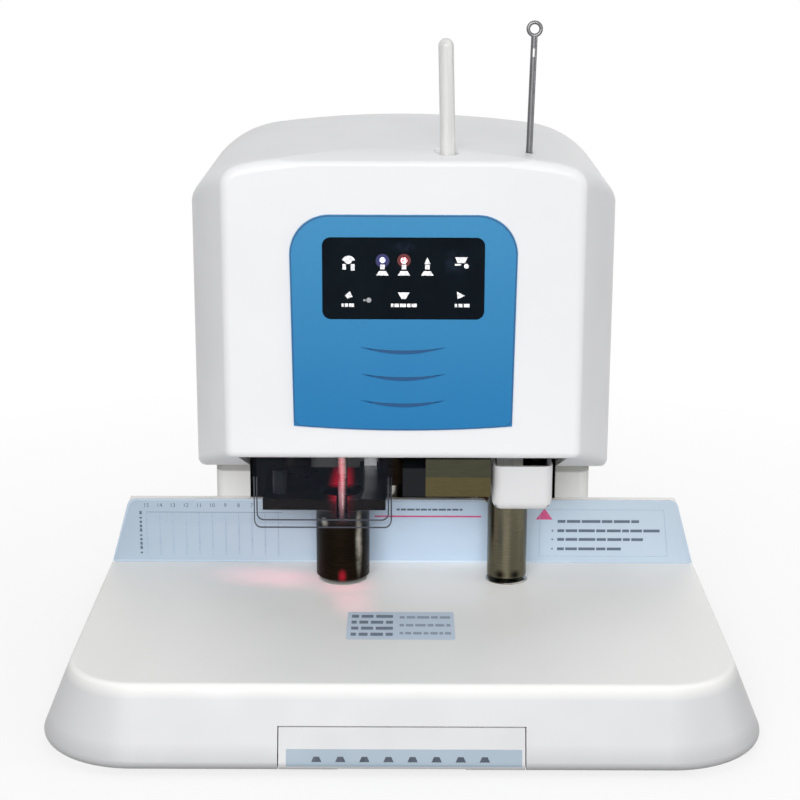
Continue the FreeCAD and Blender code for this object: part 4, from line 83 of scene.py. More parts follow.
# Rays that find a skin start from here in front of the part, or from here above its table.
RAY_FRONT = -0.5
RAY_ABOVE = 0.1

# Everything below is in millimetres, across and up (on the table, across and back). LIFT is how
# far ink stands off the skin; then the steps of a round corner and of an arc, and the size of
# type for each millimetre of a digit's height.
LIFT = 0.08
CORNER_STEPS = 5
ARC_STEPS = 24
FONT_PER_DIGIT = 1.4

# The fence's scale: its zero, its pitch, its first and last numbers, where its small ticks end
# in pitches from zero, and the heights of its lines and its digits.
SCALE_ZERO = -37.6
SCALE_PITCH = 8.45
SCALE_FIRST = 15
SCALE_LAST = 5
SCALE_TICKS_END = 4.4
SCALE_FOOT = 52.5
SCALE_TICK_FOOT = 74
SCALE_TOP = 81.5
DIGIT_FOOT = 85.0
DIGIT_HEIGHT = 2.7

# The fence's notes: where their print starts, the middle of their dots, half a bar's height.
NOTE_LEFT = 99.6
NOTE_DOTS = 96.4
NOTE_HALF = 0.95

# The panel: the heights of its grooves' ends, half a groove's length, how far the two edges of
# a groove's shade sag, and in how many steps. Then the search for the panel's outer edge: its
# centre, a distance beyond the edge, how many points it finds, and how finely.
GROOVE_ENDS = (209.4, 193.4, 177.4)
GROOVE_HALF = 24.4
GROOVE_SAGS = (2.1, 4.3)
GROOVE_STEPS = 30
PANEL_CENTRE = (0, 223)
PANEL_BEYOND = 110
EDGE_POINTS = 144
EDGE_FINENESS = 0.01

# The guard's two sides and the top of its dark edges.
GUARD_SIDES = (-90.5, -6)
GUARD_TOP = 126

# The window's two lamps and the last of its three middle marks, across.
READY_LAMP = -12.1
HEAT_LAMP = 0.3
THIRD_MARK = 13.8


# ---------------------------------------------------------------- shader nodes

class Nodes:
    """The nodes of one shader tree, and the sums that several trees use."""

    def __init__(self, tree):
        self.tree = tree

    def add(self, kind, **values):
        node = self.tree.nodes.new(kind)
        for name, value in values.items():
            setattr(node, name, value)
        return node

    def link(self, out, to):
        self.tree.links.new(out, to)

    def math(self, operation, first, second):
        """A sum of two values; each is a number or another node's output."""
        node = self.add("ShaderNodeMath", operation=operation)
        # Only COMPARE reads the third value, as how far apart two equal values may be.
        node.inputs[2].default_value = SAME_PLACE
        for socket, value in zip(node.inputs, (first, second)):
            if isinstance(value, (int, float)):
                socket.default_value = value
            else:
                self.link(value, socket)
        return node.outputs[0]

    def largest(self, first, *others):
        for other in others:
            first = self.math("MAXIMUM", first, other)
        return first

    def ramp(self, value, low, high, start=0.3, end=0.7):
        """low up to the start, high from the end on, and a straight line between them."""
        node = self.add("ShaderNodeMapRange")
        node.inputs["From Min"].default_value = start
        node.inputs["From Max"].default_value = end
        node.inputs["To Min"].default_value = low
        node.inputs["To Max"].default_value = high
        self.link(value, node.inputs["Value"])
        return node.outputs["Result"]

    def distance(self, place):
        """How far a place is from the origin."""
        node = self.add("ShaderNodeVectorMath", operation="LENGTH")
        self.link(place, node.inputs[0])
        return node.outputs["Value"]

    def seen_directly(self):
        """1 for what the camera sees itself, in a mirror or through glass; 0 for other light."""
        path = self.add("ShaderNodeLightPath")
        return self.largest(*(path.outputs[kind] for kind in (
            "Is Camera Ray", "Is Glossy Ray", "Is Transmission Ray")))


class Finish(Nodes):
    """A node material on one Principled shader, with places taken in the part's own frame."""

    def __init__(self, name, **sockets):
        self.material = bpy.data.materials.new(name)
        self.material.use_nodes = True
        super().__init__(self.material.node_tree)
        self.shader = self.tree.nodes["Principled BSDF"]
        for socket, value in sockets.items():
            self.shader.inputs[socket.replace("_", " ")].default_value = value
        self.place = self.add("ShaderNodeTexCoord").outputs["Object"]
        self.height = None

    def stretched(self, x, y, z):
        """The part's places, scaled along each axis, for brushed or drawn surfaces."""
        mapping = self.add("ShaderNodeMapping")
        mapping.inputs["Scale"].default_value = (x, y, z)
        self.link(self.place, mapping.inputs["Vector"])
        return mapping.outputs["Vector"]

    def noise(self, scale, detail, place=None):
        node = self.add("ShaderNodeTexNoise")
        node.inputs["Scale"].default_value = scale
        node.inputs["Detail"].default_value = detail
        node.inputs["Roughness"].default_value = NOISE_ROUGH
        self.link(place or self.place, node.inputs["Vector"])
        return node.outputs["Fac"]

    def blend(self, factor, first, second):
        """A colour between two; each is a plain colour or another node's output."""
        node = self.add("ShaderNodeMix", data_type="RGBA")
        self.link(factor, node.inputs["Factor"])
        # Inputs 6 and 7 are the node's two colours, and output 2 is their mixture.
        for index, colour in ((6, first), (7, second)):
            if isinstance(colour, tuple):
                node.inputs[index].default_value = (*colour, 1)
            else:
                self.link(colour, node.inputs[index])
        return node.outputs[2]

    def axis(self, letter):
        node = self.add("ShaderNodeSeparateXYZ")
        self.link(self.place, node.inputs["Vector"])
        return node.outputs[letter]

    def spot(self, centre, reach, turn=0, core=0.0, level=1.0):
        """The level at a place, falling softly to 0 at the reaches along three turned axes."""
        mapping = self.add("ShaderNodeMapping", vector_type="TEXTURE")
        mapping.inputs["Location"].default_value = centre
        mapping.inputs["Rotation"].default_value = (0, 0, math.radians(turn))
        mapping.inputs["Scale"].default_value = reach
        self.link(self.place, mapping.inputs["Vector"])
        fall = self.add("ShaderNodeMapRange", interpolation_type="SMOOTHSTEP")
        fall.inputs["From Min"].default_value = core
        fall.inputs["To Min"].default_value = level
        fall.inputs["To Max"].default_value = 0
        self.link(self.distance(mapping.outputs["Vector"]), fall.inputs["Value"])
        return fall.outputs["Result"]

    def colour(self, out):
        self.link(out, self.shader.inputs["Base Color"])

    def roughness(self, out):
        self.link(out, self.shader.inputs["Roughness"])

    def emission(self, out, strength=1.0):
        self.link(out, self.shader.inputs["Emission Color"])
        self.shader.inputs["Emission Strength"].default_value = strength

    def bump(self, height, strength, distance):
        """Adds a layer of relief on top of the layers before it."""
        node = self.add("ShaderNodeBump")
        node.inputs["Strength"].default_value = strength
        node.inputs["Distance"].default_value = distance
        self.link(height, node.inputs["Height"])
        if self.height is not None:
            self.link(self.height, node.inputs["Normal"])
        self.height = node.outputs["Normal"]
        self.link(self.height, self.shader.inputs["Normal"])


def shaded(colour, factor):
    return tuple(channel * factor for channel in colour)


# ---------------------------------------------------------------- camera, light, floor

def add_camera():
    """The photograph's camera, with colours shown as they are."""
    data = bpy.data.cameras.new("camera")
    data.lens = LENS
    data.sensor_width = SENSOR
    data.shift_x = PICTURE_SHIFT
    data.clip_start = NEAREST
    camera = bpy.data.objects.new("camera", data)
    camera.location = CAMERA_PLACE
    tilt = Matrix.Rotation(math.radians(CAMERA_TILT), 4, "X")
    roll = Matrix.Rotation(math.radians(CAMERA_ROLL), 4, "Z")
    camera.rotation_euler = (tilt @ roll).to_euler()
    SCENE.collection.objects.link(camera)
    SCENE.camera = camera
    SCENE.view_settings.view_transform = "Standard"


def add_lamp(name, place, target, width, height, watts, mirrored):
    data = bpy.data.lights.new(name, "AREA")
    data.shape = "RECTANGLE"
    data.size = width
    data.size_y = height
    data.energy = watts
    lamp = bpy.data.objects.new(name, data)
    lamp.visible_glossy = mirrored
    lamp.location = place
    aim = Vector(target) - Vector(place)
    lamp.rotation_euler = aim.to_track_quat("-Z", "Y").to_euler()
    SCENE.collection.objects.link(lamp)


def add_world():
    """White all round where it is seen, and dimmer as a source of light."""
    world = bpy.data.worlds.new("studio")
    world.use_nodes = True
    SCENE.world = world
    nodes = Nodes(world.node_tree)
    shade = nodes.tree.nodes["Background"]
    shade.inputs["Color"].default_value = (*WHITE, 1)
    nodes.link(nodes.ramp(nodes.seen_directly(), WORLD_LIGHT, 1, 0, 1), shade.inputs["Strength"])


def add_floor():
    """White where it is seen, with the part's shadow on it, and dimmer as a source of light."""
    mesh = bpy.data.meshes.new("floor")
    corners = [(x * FLOOR_HALF, y * FLOOR_HALF, 0) for x, y in ((-1, -1), (1, -1), (1, 1), (-1, 1))]
    mesh.from_pydata(corners, [], [(0, 1, 2, 3)])
    floor = bpy.data.objects.new("floor", mesh)
    floor.location.z = -FLOOR_DROP
    SCENE.collection.objects.link(floor)
    paint = Finish("studio_floor", Roughness=0.9, Specular_IOR_Level=0.1)
    seen = paint.seen_directly()
    paint.colour(paint.ramp(seen, FLOOR_BOUNCE, 1, 0, 1))
    own_white = paint.ramp(paint.distance(paint.place), *FLOOR_GLOW, *FLOOR_FADE)
    mix = paint.add("ShaderNodeMixShader")
    paint.link(paint.math("MULTIPLY", seen, own_white), mix.inputs[0])
    paint.link(paint.shader.outputs[0], mix.inputs[1])
    paint.link(paint.add("ShaderNodeEmission").outputs[0], mix.inputs[2])
    paint.link(mix.outputs[0], paint.tree.nodes["Material Output"].inputs["Surface"])
    mesh.materials.append(paint.material)


# ---------------------------------------------------------------- plastics

def moulding(name, colour, rough, **sockets):
    """Injection-moulded plastic: spark-eroded grain, faint flow marks, a little dust."""
    finish = Finish(name, **sockets)
    flow = finish.noise(9, 4, finish.stretched(1, 0.6, 1.6))
    speck = finish.noise(420, 2)
    base = finish.blend(finish.ramp(flow, 0, 1), shaded(colour, 0.975), shaded(colour, 1.01))
    skin = finish.blend(finish.ramp(speck, 0, 0.05, 0.62, 0.75), base, shaded(colour, 0.8))
    finish.colour(skin)
    finish.roughness(finish.ramp(finish.noise(30, 4), rough - 0.05, rough + 0.07))
    finish.bump(finish.noise(2600, 2), 0.12, 0.00012)
    finish.bump(finish.noise(14, 2), 0.05, 0.0008)
    return finish, skin


def moulded(name, colour, rough, **sockets):
    return moulding(name, colour, rough, **sockets)[0].material


def table_white():
    """The base: a white table with a painted pool of light round the feet and the pointer's red
    light painted on it, painted shade on the skirt that darkens towards its bottom, a painted
    shadow along its foot, and the film's blue where the fence's face shows round the film."""
    finish, skin = moulding("table_white", TABLE_COLOUR, SHELL_ROUGH, IOR=1.5)
    height = finish.axis("Z")
    # Painted shade: the skirt darker than the table, and darker still towards its bottom.
    skirt = finish.blend(finish.ramp(height, 0, 1, 0.002, 0.018), shaded(SHELL_COLOUR, 0.50),
                         shaded(SHELL_COLOUR, 0.76))
    skin = finish.blend(finish.ramp(height, 0, 1, 0.040, 0.0475), skirt, skin)
    # A painted shadow: a dark line along the base's foot.
    skin = finish.blend(finish.ramp(height, 0, 1, 0.0010, 0.0028), (0.11, 0.11, 0.11), skin)
    fence = finish.math("MULTIPLY", finish.math("COMPARE", finish.axis("Y"), FENCE_FACE),
                        finish.math("GREATER_THAN", height, TABLE_HEIGHT - 0.0001))
    skin = finish.blend(fence, skin, (0.50, 0.59, 0.69))
    # The pointer's red light, painted on the table as a glow.
    beside = finish.spot((-0.078, 0.009, TABLE_HEIGHT), (0.056, 0.026, 0.004), -12, level=0.80)
    below = finish.spot((-0.032, -0.024, TABLE_HEIGHT), (0.064, 0.020, 0.004), 101, level=0.60)
    tip = finish.spot((-0.036, -0.006, TABLE_HEIGHT), (0.028, 0.026, 0.004), level=0.85)
    pointer = finish.math("MULTIPLY", finish.largest(beside, below, tip),
                          finish.ramp(finish.noise(70, 2), 0.6, 1))
    # A painted pool of light on the table round the feet.
    painted_work_light = finish.spot((0.012, 0.022, TABLE_HEIGHT), (0.130, 0.105, 0.030), core=0.1)
    lit = finish.blend(painted_work_light, BLACK, (0.19, 0.19, 0.19))
    finish.emission(finish.blend(pointer, lit, (0.52, 0.24, 0.27)))
    finish.colour(finish.blend(pointer, skin, (0.90, 0.74, 0.76)))
    return finish.material


def neck_grey():
    """The grey of the neck, with painted shade where it goes up into the head."""
    finish, skin = moulding("neck_grey", GREY_COLOUR, GREY_ROUGH, IOR=1.5)
    top = finish.ramp(finish.axis("Z"), 0, 1, *NECK_SHADE)
    finish.colour(finish.blend(top, skin, (0.36, 0.36, 0.34)))
    return finish.material


def panel_blue():
    """Satin blue moulding, slightly paler towards its top."""
    finish = Finish("panel_blue", IOR=1.5, Specular_IOR_Level=0.35)
    height = finish.ramp(finish.axis("Z"), 0, 1, 0.16, 0.288)
    base = finish.blend(height, (0.006, 0.180, 0.430), (0.036, 0.265, 0.520))
    finish.colour(finish.blend(finish.ramp(finish.noise(300, 3), 0, 0.12), base,
                               (0.02, 0.13, 0.33)))
    finish.roughness(finish.ramp(finish.noise(26, 4), 0.36, 0.48))
    finish.bump(finish.noise(2400, 2), 0.1, 0.00012)
    return finish.material


def smoked_window():
    """Gloss window: near black, with faint smears, two painted cloudy reflections and fine
    scratches.
    """
    finish = Finish("smoked_window", IOR=1.5, Specular_IOR_Level=0.06)
    smear = finish.noise(38, 5)
    glass = finish.blend(finish.ramp(smear, 0, 1), (0.0006, 0.003, 0.006), (0.003, 0.007, 0.011))
    cloud = finish.ramp(finish.noise(170, 3), 0, 1, 0.42, 0.66)
    # Painted reflections: two pale cloudy patches on the glass.
    painted_reflections = finish.largest(finish.spot((0.0, -0.1, 0.2685), (0.014, 0.09, 0.006)),
                           finish.spot((0.030, -0.1, 0.2600), (0.016, 0.09, 0.012)))
    finish.colour(finish.blend(finish.math("MULTIPLY", cloud, painted_reflections), glass,
                               (0.05, 0.07, 0.14)))
    finish.roughness(finish.ramp(smear, 0.1, 0.24))
    finish.bump(finish.noise(900, 2, finish.stretched(1, 1, 0.1)), 0.03, 0.00005)
    return finish.material


def film_print():
    """Pale blue printed film, paler towards its right end and lighter and bluer in its middle from
    painted light, with a fine screen and a gentle ripple.
    """
    finish = Finish("film_print", IOR=1.46, Coat_Weight=0.25, Coat_Roughness=0.2)
    cloud = finish.noise(18, 3)
    side = finish.ramp(finish.axis("X"), 0, 1, -0.17, 0.17)
    ends = finish.blend(side, (0.385, 0.475, 0.56), (0.49, 0.585, 0.665))
    # Painted light: the film's middle lighter and bluer than its ends.
    middle = finish.spot((0.012, FENCE_FACE, 0.065), (0.125, 0.1, 0.1), core=0.2)
    base = finish.blend(middle, ends, (0.51, 0.64, 0.79))
    finish.colour(finish.blend(finish.ramp(cloud, 0, 0.3), base, (0.45, 0.53, 0.68)))
    finish.roughness(finish.ramp(finish.noise(260, 2), 0.3, 0.4))
    finish.bump(cloud, 0.12, 0.0006)
    finish.bump(finish.noise(1800, 1), 0.06, 0.00005)
    return finish.material


def clear_acrylic():
    """Clear acrylic with a cool tint and light handling marks."""
    finish = Finish("clear_acrylic", IOR=1.49, Alpha=0.03, Specular_IOR_Level=0.3)
    haze = finish.noise(60, 4)
    finish.colour(finish.blend(finish.ramp(haze, 0, 1), (0.10, 0.13, 0.19), (0.16, 0.19, 0.26)))
    finish.roughness(finish.ramp(haze, 0.05, 0.14))
    finish.bump(finish.noise(1200, 2, finish.stretched(1, 1, 0.2)), 0.02, 0.00005)
    return finish.material


def rubber_black():
    """Matt rubber with a coarse grain."""
    finish = Finish("rubber_black", IOR=1.5)
    grain = finish.noise(800, 4)
    finish.colour(finish.blend(finish.ramp(grain, 0, 1), (0.018, 0.018, 0.018),
                               (0.045, 0.045, 0.043)))
    finish.roughness(finish.ramp(grain, 0.68, 0.85))
    finish.bump(grain, 0.3, 0.0002)
    return finish.material


def milky_nylon():
    """Drawn nylon tube: milky, with faint lengthwise streaks."""
    finish = Finish("milky_nylon", IOR=1.53, Subsurface_Weight=0.25,
                    Subsurface_Radius=(0.004, 0.004, 0.004))
    streak = finish.noise(500, 3, finish.stretched(1, 1, 0.04))
    finish.colour(finish.blend(finish.ramp(streak, 0, 1), (0.66, 0.66, 0.64), (0.80, 0.80, 0.79)))
    finish.roughness(finish.ramp(streak, 0.28, 0.42))
    finish.bump(streak, 0.08, 0.0001)
    return finish.material


def solder_mask():
    """Green boards with paler traces seen through the mask."""
    finish = Finish("solder_mask", IOR=1.5)
    brick = finish.add("ShaderNodeTexBrick")
    finish.link(finish.place, brick.inputs["Vector"])
    brick.inputs["Scale"].default_value = 160
    brick.inputs["Mortar Size"].default_value = 0.06
    brick.inputs["Color1"].default_value = (0.012, 0.12, 0.05, 1)
    brick.inputs["Color2"].default_value = (0.016, 0.15, 0.06, 1)
    brick.inputs["Mortar"].default_value = (0.03, 0.23, 0.09, 1)
    finish.colour(brick.outputs["Color"])
    finish.roughness(finish.ramp(finish.noise(60, 3), 0.3, 0.45))
    finish.bump(finish.noise(900, 2), 0.15, 0.0001)
    return finish.material


# ---------------------------------------------------------------- metals

def metal(name, colour, rough, brushed):
    """Turned, ground or plated metal: fine lines one way, smudges, uneven shine."""
    finish = Finish(name, Metallic=1.0)
    lines = finish.noise(700, 3, finish.stretched(*brushed))
    smudge = finish.noise(24, 5)
    tone = finish.blend(finish.ramp(lines, 0, 1), shaded(colour, 0.86), shaded(colour, 1.08))
    finish.colour(finish.blend(finish.ramp(smudge, 0, 0.35), tone, shaded(colour, 0.7)))
    finish.roughness(finish.ramp(smudge, rough - 0.06, rough + 0.1))
    finish.bump(lines, 0.1, 0.00004)
    return finish.material


def powder_coat():
    """Powder-coated black sheet: orange peel and tiny pits, and the pointer's red light painted on
    it as a glow.
    """
    finish = Finish("powder_coat", Specular_IOR_Level=0.12)
    colour = (0.035, 0.033, 0.03)
    # The pointer's red light, painted on the sheet as a glow.
    red = finish.spot((DRILL[0], -0.02, 0.118), (0.018, 0.09, 0.022))
    finish.emission(finish.blend(red, BLACK, (0.12, 0.002, 0.008)))
    peel = finish.noise(520, 2)
    finish.colour(finish.blend(finish.ramp(finish.noise(16, 3), 0, 1), shaded(colour, 0.93),
                               shaded(colour, 1.05)))
    finish.roughness(finish.ramp(peel, 0.42, 0.56))
    finish.bump(peel, 0.25, 0.0002)
    return finish.material


def polished_black():
    """Blackened and polished steel of the drill foot: turning lines, two painted highlights as pale
    streaks, and the pointer's red light painted at its mouth, along its plate and at its tip."""
    finish = Finish("polished_black", Metallic=1.0, Anisotropic=0.9)
    around = finish.add("ShaderNodeTangent", direction_type="RADIAL", axis="Z")
    finish.link(around.outputs["Tangent"], finish.shader.inputs["Tangent"])
    lines = finish.noise(900, 2, finish.stretched(0.15, 0.15, 3))
    base = finish.blend(finish.ramp(lines, 0, 1), (0.009, 0.006, 0.004), (0.018, 0.012, 0.008))
    finish.roughness(finish.ramp(finish.noise(45, 4), 0.26, 0.36))
    finish.bump(lines, 0.06, 0.00004)
    x, y = DRILL
    # Painted highlights: two pale streaks where a lamp would shine on the foot.
    streaks = finish.largest(
        finish.spot((x + 0.0103, y - 0.0131, 0.077), (0.0030, 0.006, 0.029)),
        finish.spot((x - 0.0110, y - 0.0125, 0.0885), (0.0034, 0.006, 0.0042)))
    painted_highlight = finish.math("MULTIPLY", streaks, finish.ramp(finish.noise(210, 3), 0.3, 1))
    finish.colour(finish.blend(painted_highlight, base, (0.62, 0.59, 0.51)))
    # The pointer's red light, painted as a glow at the mouth, tip and plate.
    mouth = finish.spot((x, y - 0.018, 0.105), (0.010, 0.014, 0.020), level=0.15)
    plate = finish.spot((x - 0.001, 0.020, 0.106), (0.0095, 0.070, 0.004), core=0.1, level=0.75)
    tip = finish.spot((x, y - 0.016, 0.0545), (0.0036, 0.008, 0.0060), level=0.6)
    red = finish.largest(mouth, tip, plate)
    finish.emission(finish.blend(red, BLACK, (0.55, 0.008, 0.035)))
    return finish.material


def lit_steel():
    """The spindle's bright steel, with the pointer's red light painted down its front as a glow."""
    finish = Finish("lit_steel", Metallic=1.0)
    lines = finish.noise(800, 3, finish.stretched(0.2, 0.2, 3))
    finish.colour(finish.blend(finish.ramp(lines, 0, 1), (0.30, 0.24, 0.23), (0.46, 0.38, 0.36)))
    finish.roughness(finish.ramp(lines, 0.22, 0.34))
    finish.bump(lines, 0.08, 0.00004)
    x, y = DRILL
    # The pointer's red light, painted down the spindle's front as a glow.
    stripe = finish.spot((x - 0.0008, y - 0.012, 0.112), (0.004, 0.018, 0.035), core=0.35)
    height = finish.ramp(finish.axis("Z"), 0, 1, 0.104, 0.114)
    red = finish.blend(height, (0.62, 0.30, 0.34), (0.60, 0.02, 0.07))
    finish.emission(finish.blend(stripe, BLACK, red))
    return finish.material


def rivet_foot_steel():
    """The rivet foot's olive-toned bright steel, with painted shade in two dark openings at its
    bottom and painted highlights on their lower edges."""
    finish = Finish("rivet_foot_steel", Metallic=1.0)
    lines = finish.noise(700, 3, finish.stretched(0.25, 0.25, 3))
    tone = finish.blend(finish.ramp(lines, 0, 1), (0.115, 0.104, 0.070), (0.150, 0.137, 0.094))
    x, y = RIVET
    # Painted shade: two dark openings at the bottom.
    painted_mouth_shade = finish.largest(*(
        finish.spot((x + side * 0.0048, y - 0.012, 0.0540), (0.0050, 0.009, 0.0046))
        for side in (-1, 1)))
    # Painted highlights: bright edges below the openings.
    painted_rim_highlights = finish.largest(*(
        finish.spot((x + side * 0.0062, y - 0.012, 0.0509), (0.0026, 0.009, 0.0009))
        for side in (-1, 1)))
    tone = finish.blend(painted_mouth_shade, tone, (0.006, 0.005, 0.004))
    finish.colour(finish.blend(painted_rim_highlights, tone, (0.55, 0.54, 0.50)))
    finish.roughness(finish.ramp(finish.noise(24, 5), 0.2, 0.32))
    finish.bump(lines, 0.1, 0.00004)
    return finish.material


def winding():
    """Layers of varnished copper wire round the core."""
    finish = Finish("copper_winding", Metallic=0.7)
    wave = finish.add("ShaderNodeTexWave", bands_direction="Z")
    wave.inputs["Scale"].default_value = 260
    finish.link(finish.place, wave.inputs["Vector"])
    finish.colour(finish.blend(wave.outputs["Fac"], (0.16, 0.05, 0.02), (0.42, 0.17, 0.07)))
    finish.roughness(finish.ramp(finish.noise(90, 3), 0.3, 0.5))
    finish.bump(wave.outputs["Fac"], 0.5, 0.0004)
    return finish.material


# ---------------------------------------------------------------- inks

def ink(name, colour):
    """Printed ink: slightly uneven, satin."""
    finish = Finish(name, IOR=1.45)
    finish.colour(finish.blend(finish.ramp(finish.noise(1500, 2), 0, 1), colour,
                               shaded(colour, 1.35)))
    finish.roughness(finish.ramp(finish.noise(200, 2), 0.4, 0.55))
    return finish.material


def lit_ink(name, colour, strength):
    """A lit mark: tinted, with white in its brightest grain."""
    finish = Finish(name, Roughness=0.3)
    tone = finish.blend(finish.ramp(finish.noise(700, 2), 0, 1, 0.4, 0.6), colour, WHITE)
    finish.colour(tone)
    finish.emission(tone, strength)
    return finish.material


# ---------------------------------------------------------------- every CAD node's finish

def dress_nodes():
    """Every slot of a CAD node gets the node's one finish."""
    finishes = (
        (moulded("shell_white", SHELL_COLOUR, SHELL_ROUGH, IOR=1.5), ("head_shell",)),
        # The drawer in painted shade: a darker copy of the shell's white, like the skirt.
        (moulded("drawer_painted_shade", shaded(SHELL_COLOUR, 0.74), SHELL_ROUGH, IOR=1.5),
         ("accessory_drawer",)),
        (table_white(), ("base_shell",)),
        # The rivet cover in painted shade: a grey copy of the shell's white, as under the head.
        (moulded("cover_painted_shade", (0.70, 0.70, 0.71), 0.4, IOR=1.5), ("rivet_cover",)),
        (moulded("shell_grey", GREY_COLOUR, GREY_ROUGH, IOR=1.5), ("rear_cover",)),
        (neck_grey(), ("neck_shell",)),
        (moulded("black_plastic", (0.009, 0.010, 0.012), 0.45, Specular_IOR_Level=0.1),
         ("cutter_actuator", "tube_feed_motor", "power_inlet", "power_rocker", "laser_module")),
        (moulded("pad_nylon", (0.72, 0.72, 0.68), 0.5), ("drill_pad",)),
        (panel_blue(), ("control_panel",)),
        (smoked_window(), ("display_window",)),
        (film_print(), ("fence_film",)),
        (clear_acrylic(), ("drill_guard",)),
        (rubber_black(), ("rubber_feet", "drive_belt", "feed_roller", "idler_roller")),
        (milky_nylon(), ("nylon_tube",)),
        (solder_mask(), ("circuit_boards",)),
        (metal("zinc_plate", (0.62, 0.63, 0.66), 0.34, (1, 1, 0.2)),
         ("bottom_plate", "cover_screws", "gear_motors", "roller_bracket", "rod_holder",
          "socket_backing", "shaft_brackets", "foot_rack", "feed_rack", "rivet_rack",
          "press_shaft", "feed_shaft", "ram_solenoid", "drill_motor")),
        (metal("ground_steel", (0.52, 0.50, 0.46), 0.22, (0.2, 0.2, 3)),
         ("guide_rods", "rivet_ram", "ram_spring", "lower_rivet_die", "cutter_blade")),
        (metal("milled_alloy", (0.70, 0.71, 0.73), 0.36, (0.2, 3, 1)),
         ("drill_carriage", "motor_pulley", "tube_guide")),
        (metal("bronze", (0.42, 0.29, 0.14), 0.3, (0.3, 0.3, 2)),
         ("foot_bushings", "carriage_bearings", "rivet_bushings", "die_heater")),
        (metal("dark_steel", (0.165, 0.165, 0.17), 0.3, (1, 1, 0.2)), ("cleaning_rod",)),
        (metal("olive_plate", (0.055, 0.055, 0.037), 0.4, (0.2, 3, 1)), ("cutter_block",)),
        (metal("brown_bronze", (0.090, 0.076, 0.036), 0.4, (0.3, 0.3, 2)), ("cutter_guide",)),
        (powder_coat(), ("head_frame", "bed_plate", "centre_plate")),
        (polished_black(), ("drill_press_foot",)),
        (lit_steel(), ("drill_spindle", "drill_chuck", "hollow_drill_bit")),
        (rivet_foot_steel(), ("rivet_press_foot",)),
        (winding(), ("transformer",)),
    )
    for material, names in finishes:
        for name in names:
            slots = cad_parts[name].data.materials
            slots.clear()
            slots.append(material)


# ---------------------------------------------------------------- printing on a surface

class Surface:
    """A CAD node's skin, met by rays from the front or from above."""

    def __init__(self, node, above=False):
        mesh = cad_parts[node].data
        self.tree = BVHTree.FromPolygons([v.co for v in mesh.vertices],
                                         [p.vertices for p in mesh.polygons])
        self.above = above
        self.ray = Vector((0, 0, -1) if above else (0, 1, 0))

    def meet(self, across, up):
        """Where a ray at two millimetre coordinates meets the skin, and the normal there."""
        if self.above:
            start = Vector((across * MM, up * MM, RAY_ABOVE))
        else:
            start = Vector((across * MM, RAY_FRONT, up * MM))
        return self.tree.ray_cast(start, self.ray)[:2]

    def misses(self, across, up):
        return self.meet(across, up)[0] is None

    def point(self, across, up, lift):
        """The skin's point at two millimetre coordinates, lifted off it."""
        hit, normal = self.meet(across, up)
        if normal.dot(self.ray) > 0:
            normal = -normal
        return hit + normal * lift * MM


def marks(name, surface, shapes, material, lift=LIFT, body="machine"):
    """Flat printed shapes laid on a surface as one piece that rides a body."""
    mesh = bmesh.new()
    for shape in shapes:
        mesh.faces.new([mesh.verts.new(surface.point(across, up, lift)) for across, up in shape])
    bmesh.ops.triangulate(mesh, faces=[f for f in mesh.faces if len(f.verts) > 4])
    data = bpy.data.meshes.new(name)
    mesh.to_mesh(data)
    mesh.free()
    data.materials.append(material)
    piece = bpy.data.objects.new(name, data)
    SCENE.collection.objects.link(piece)
    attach(piece, body)


# ---------------------------------------------------------------- shapes of marks

def rectangle(left, low, right, high):
    return [(left, low), (right, low), (right, high), (left, high)]


def grid(left, low, right, high, columns, rows):
    """A rectangle in cells, so that it follows a curved surface."""
    wide = (right - left) / columns
    tall = (high - low) / rows
    return [rectangle(left + wide * column, low + tall * row,
                      left + wide * (column + 1), low + tall * (row + 1))
            for column in range(columns) for row in range(rows)]


def trapezium(middle, low, high, foot, top):
    """A shape with level sides, given by half its widths at its foot and its top."""
    return [(middle - foot, low), (middle + foot, low),
            (middle + top, high), (middle - top, high)]


def band(first, second):
    """The four-cornered pieces between two lines of as many points."""
    return [[first[i], first[i + 1], second[i + 1], second[i]] for i in range(len(first) - 1)]


def pill(left, low, right, high, radius):
    """A rectangle with round corners, from its upper right corner round to its lower right."""
    points = []
    corners = ((right - radius, high - radius, 0), (left + radius, high - radius, 90),
               (left + radius, low + radius, 180), (right - radius, low + radius, 270))
    for x, y, start in corners:
        for step in range(CORNER_STEPS + 1):
            turn = math.radians(start + 90 * step / CORNER_STEPS)
            points.append((x + radius * math.cos(turn), y + radius * math.sin(turn)))
    return points


def cup(left, low, right, high, radius):
    """A line down one side, round two lower corners and up the other side."""
    lower_corners = pill(left, low, right, high, radius)[2 * (CORNER_STEPS + 1):]
    return [(left, high), *lower_corners, (right, high)]


def disc(x, y, radius, steps=20):
    return [(x + radius * math.cos(2 * math.pi * step / steps),
             y + radius * math.sin(2 * math.pi * step / steps)) for step in range(steps)]


def arc(x, y, radius, width, start, sweep):
    """A band round part of a circle, as a chain of four-cornered pieces."""
    turns = [math.radians(start + sweep * step / ARC_STEPS) for step in range(ARC_STEPS + 1)]
    inner, outer = ([(x + r * math.cos(turn), y + r * math.sin(turn)) for turn in turns]
                    for r in (radius, radius + width))
    return [[inner[i], outer[i], outer[i + 1], inner[i + 1]] for i in range(ARC_STEPS)]


def number_shapes(text, x, y, height):
    """The outline of a number in the plain built-in typeface, as filled faces."""
    curve = bpy.data.curves.new("number", "FONT")
    curve.body = text
    curve.size = height * FONT_PER_DIGIT
    curve.align_x = "CENTER"
    curve.resolution_u = 3
    holder = bpy.data.objects.new("number", curve)
    data = bpy.data.meshes.new_from_object(holder)
    shapes = [[(x + data.vertices[i].co.x, y + data.vertices[i].co.y) for i in face.vertices]
              for face in data.polygons]
    bpy.data.objects.remove(holder)
    bpy.data.curves.remove(curve)
    bpy.data.meshes.remove(data)
    return shapes


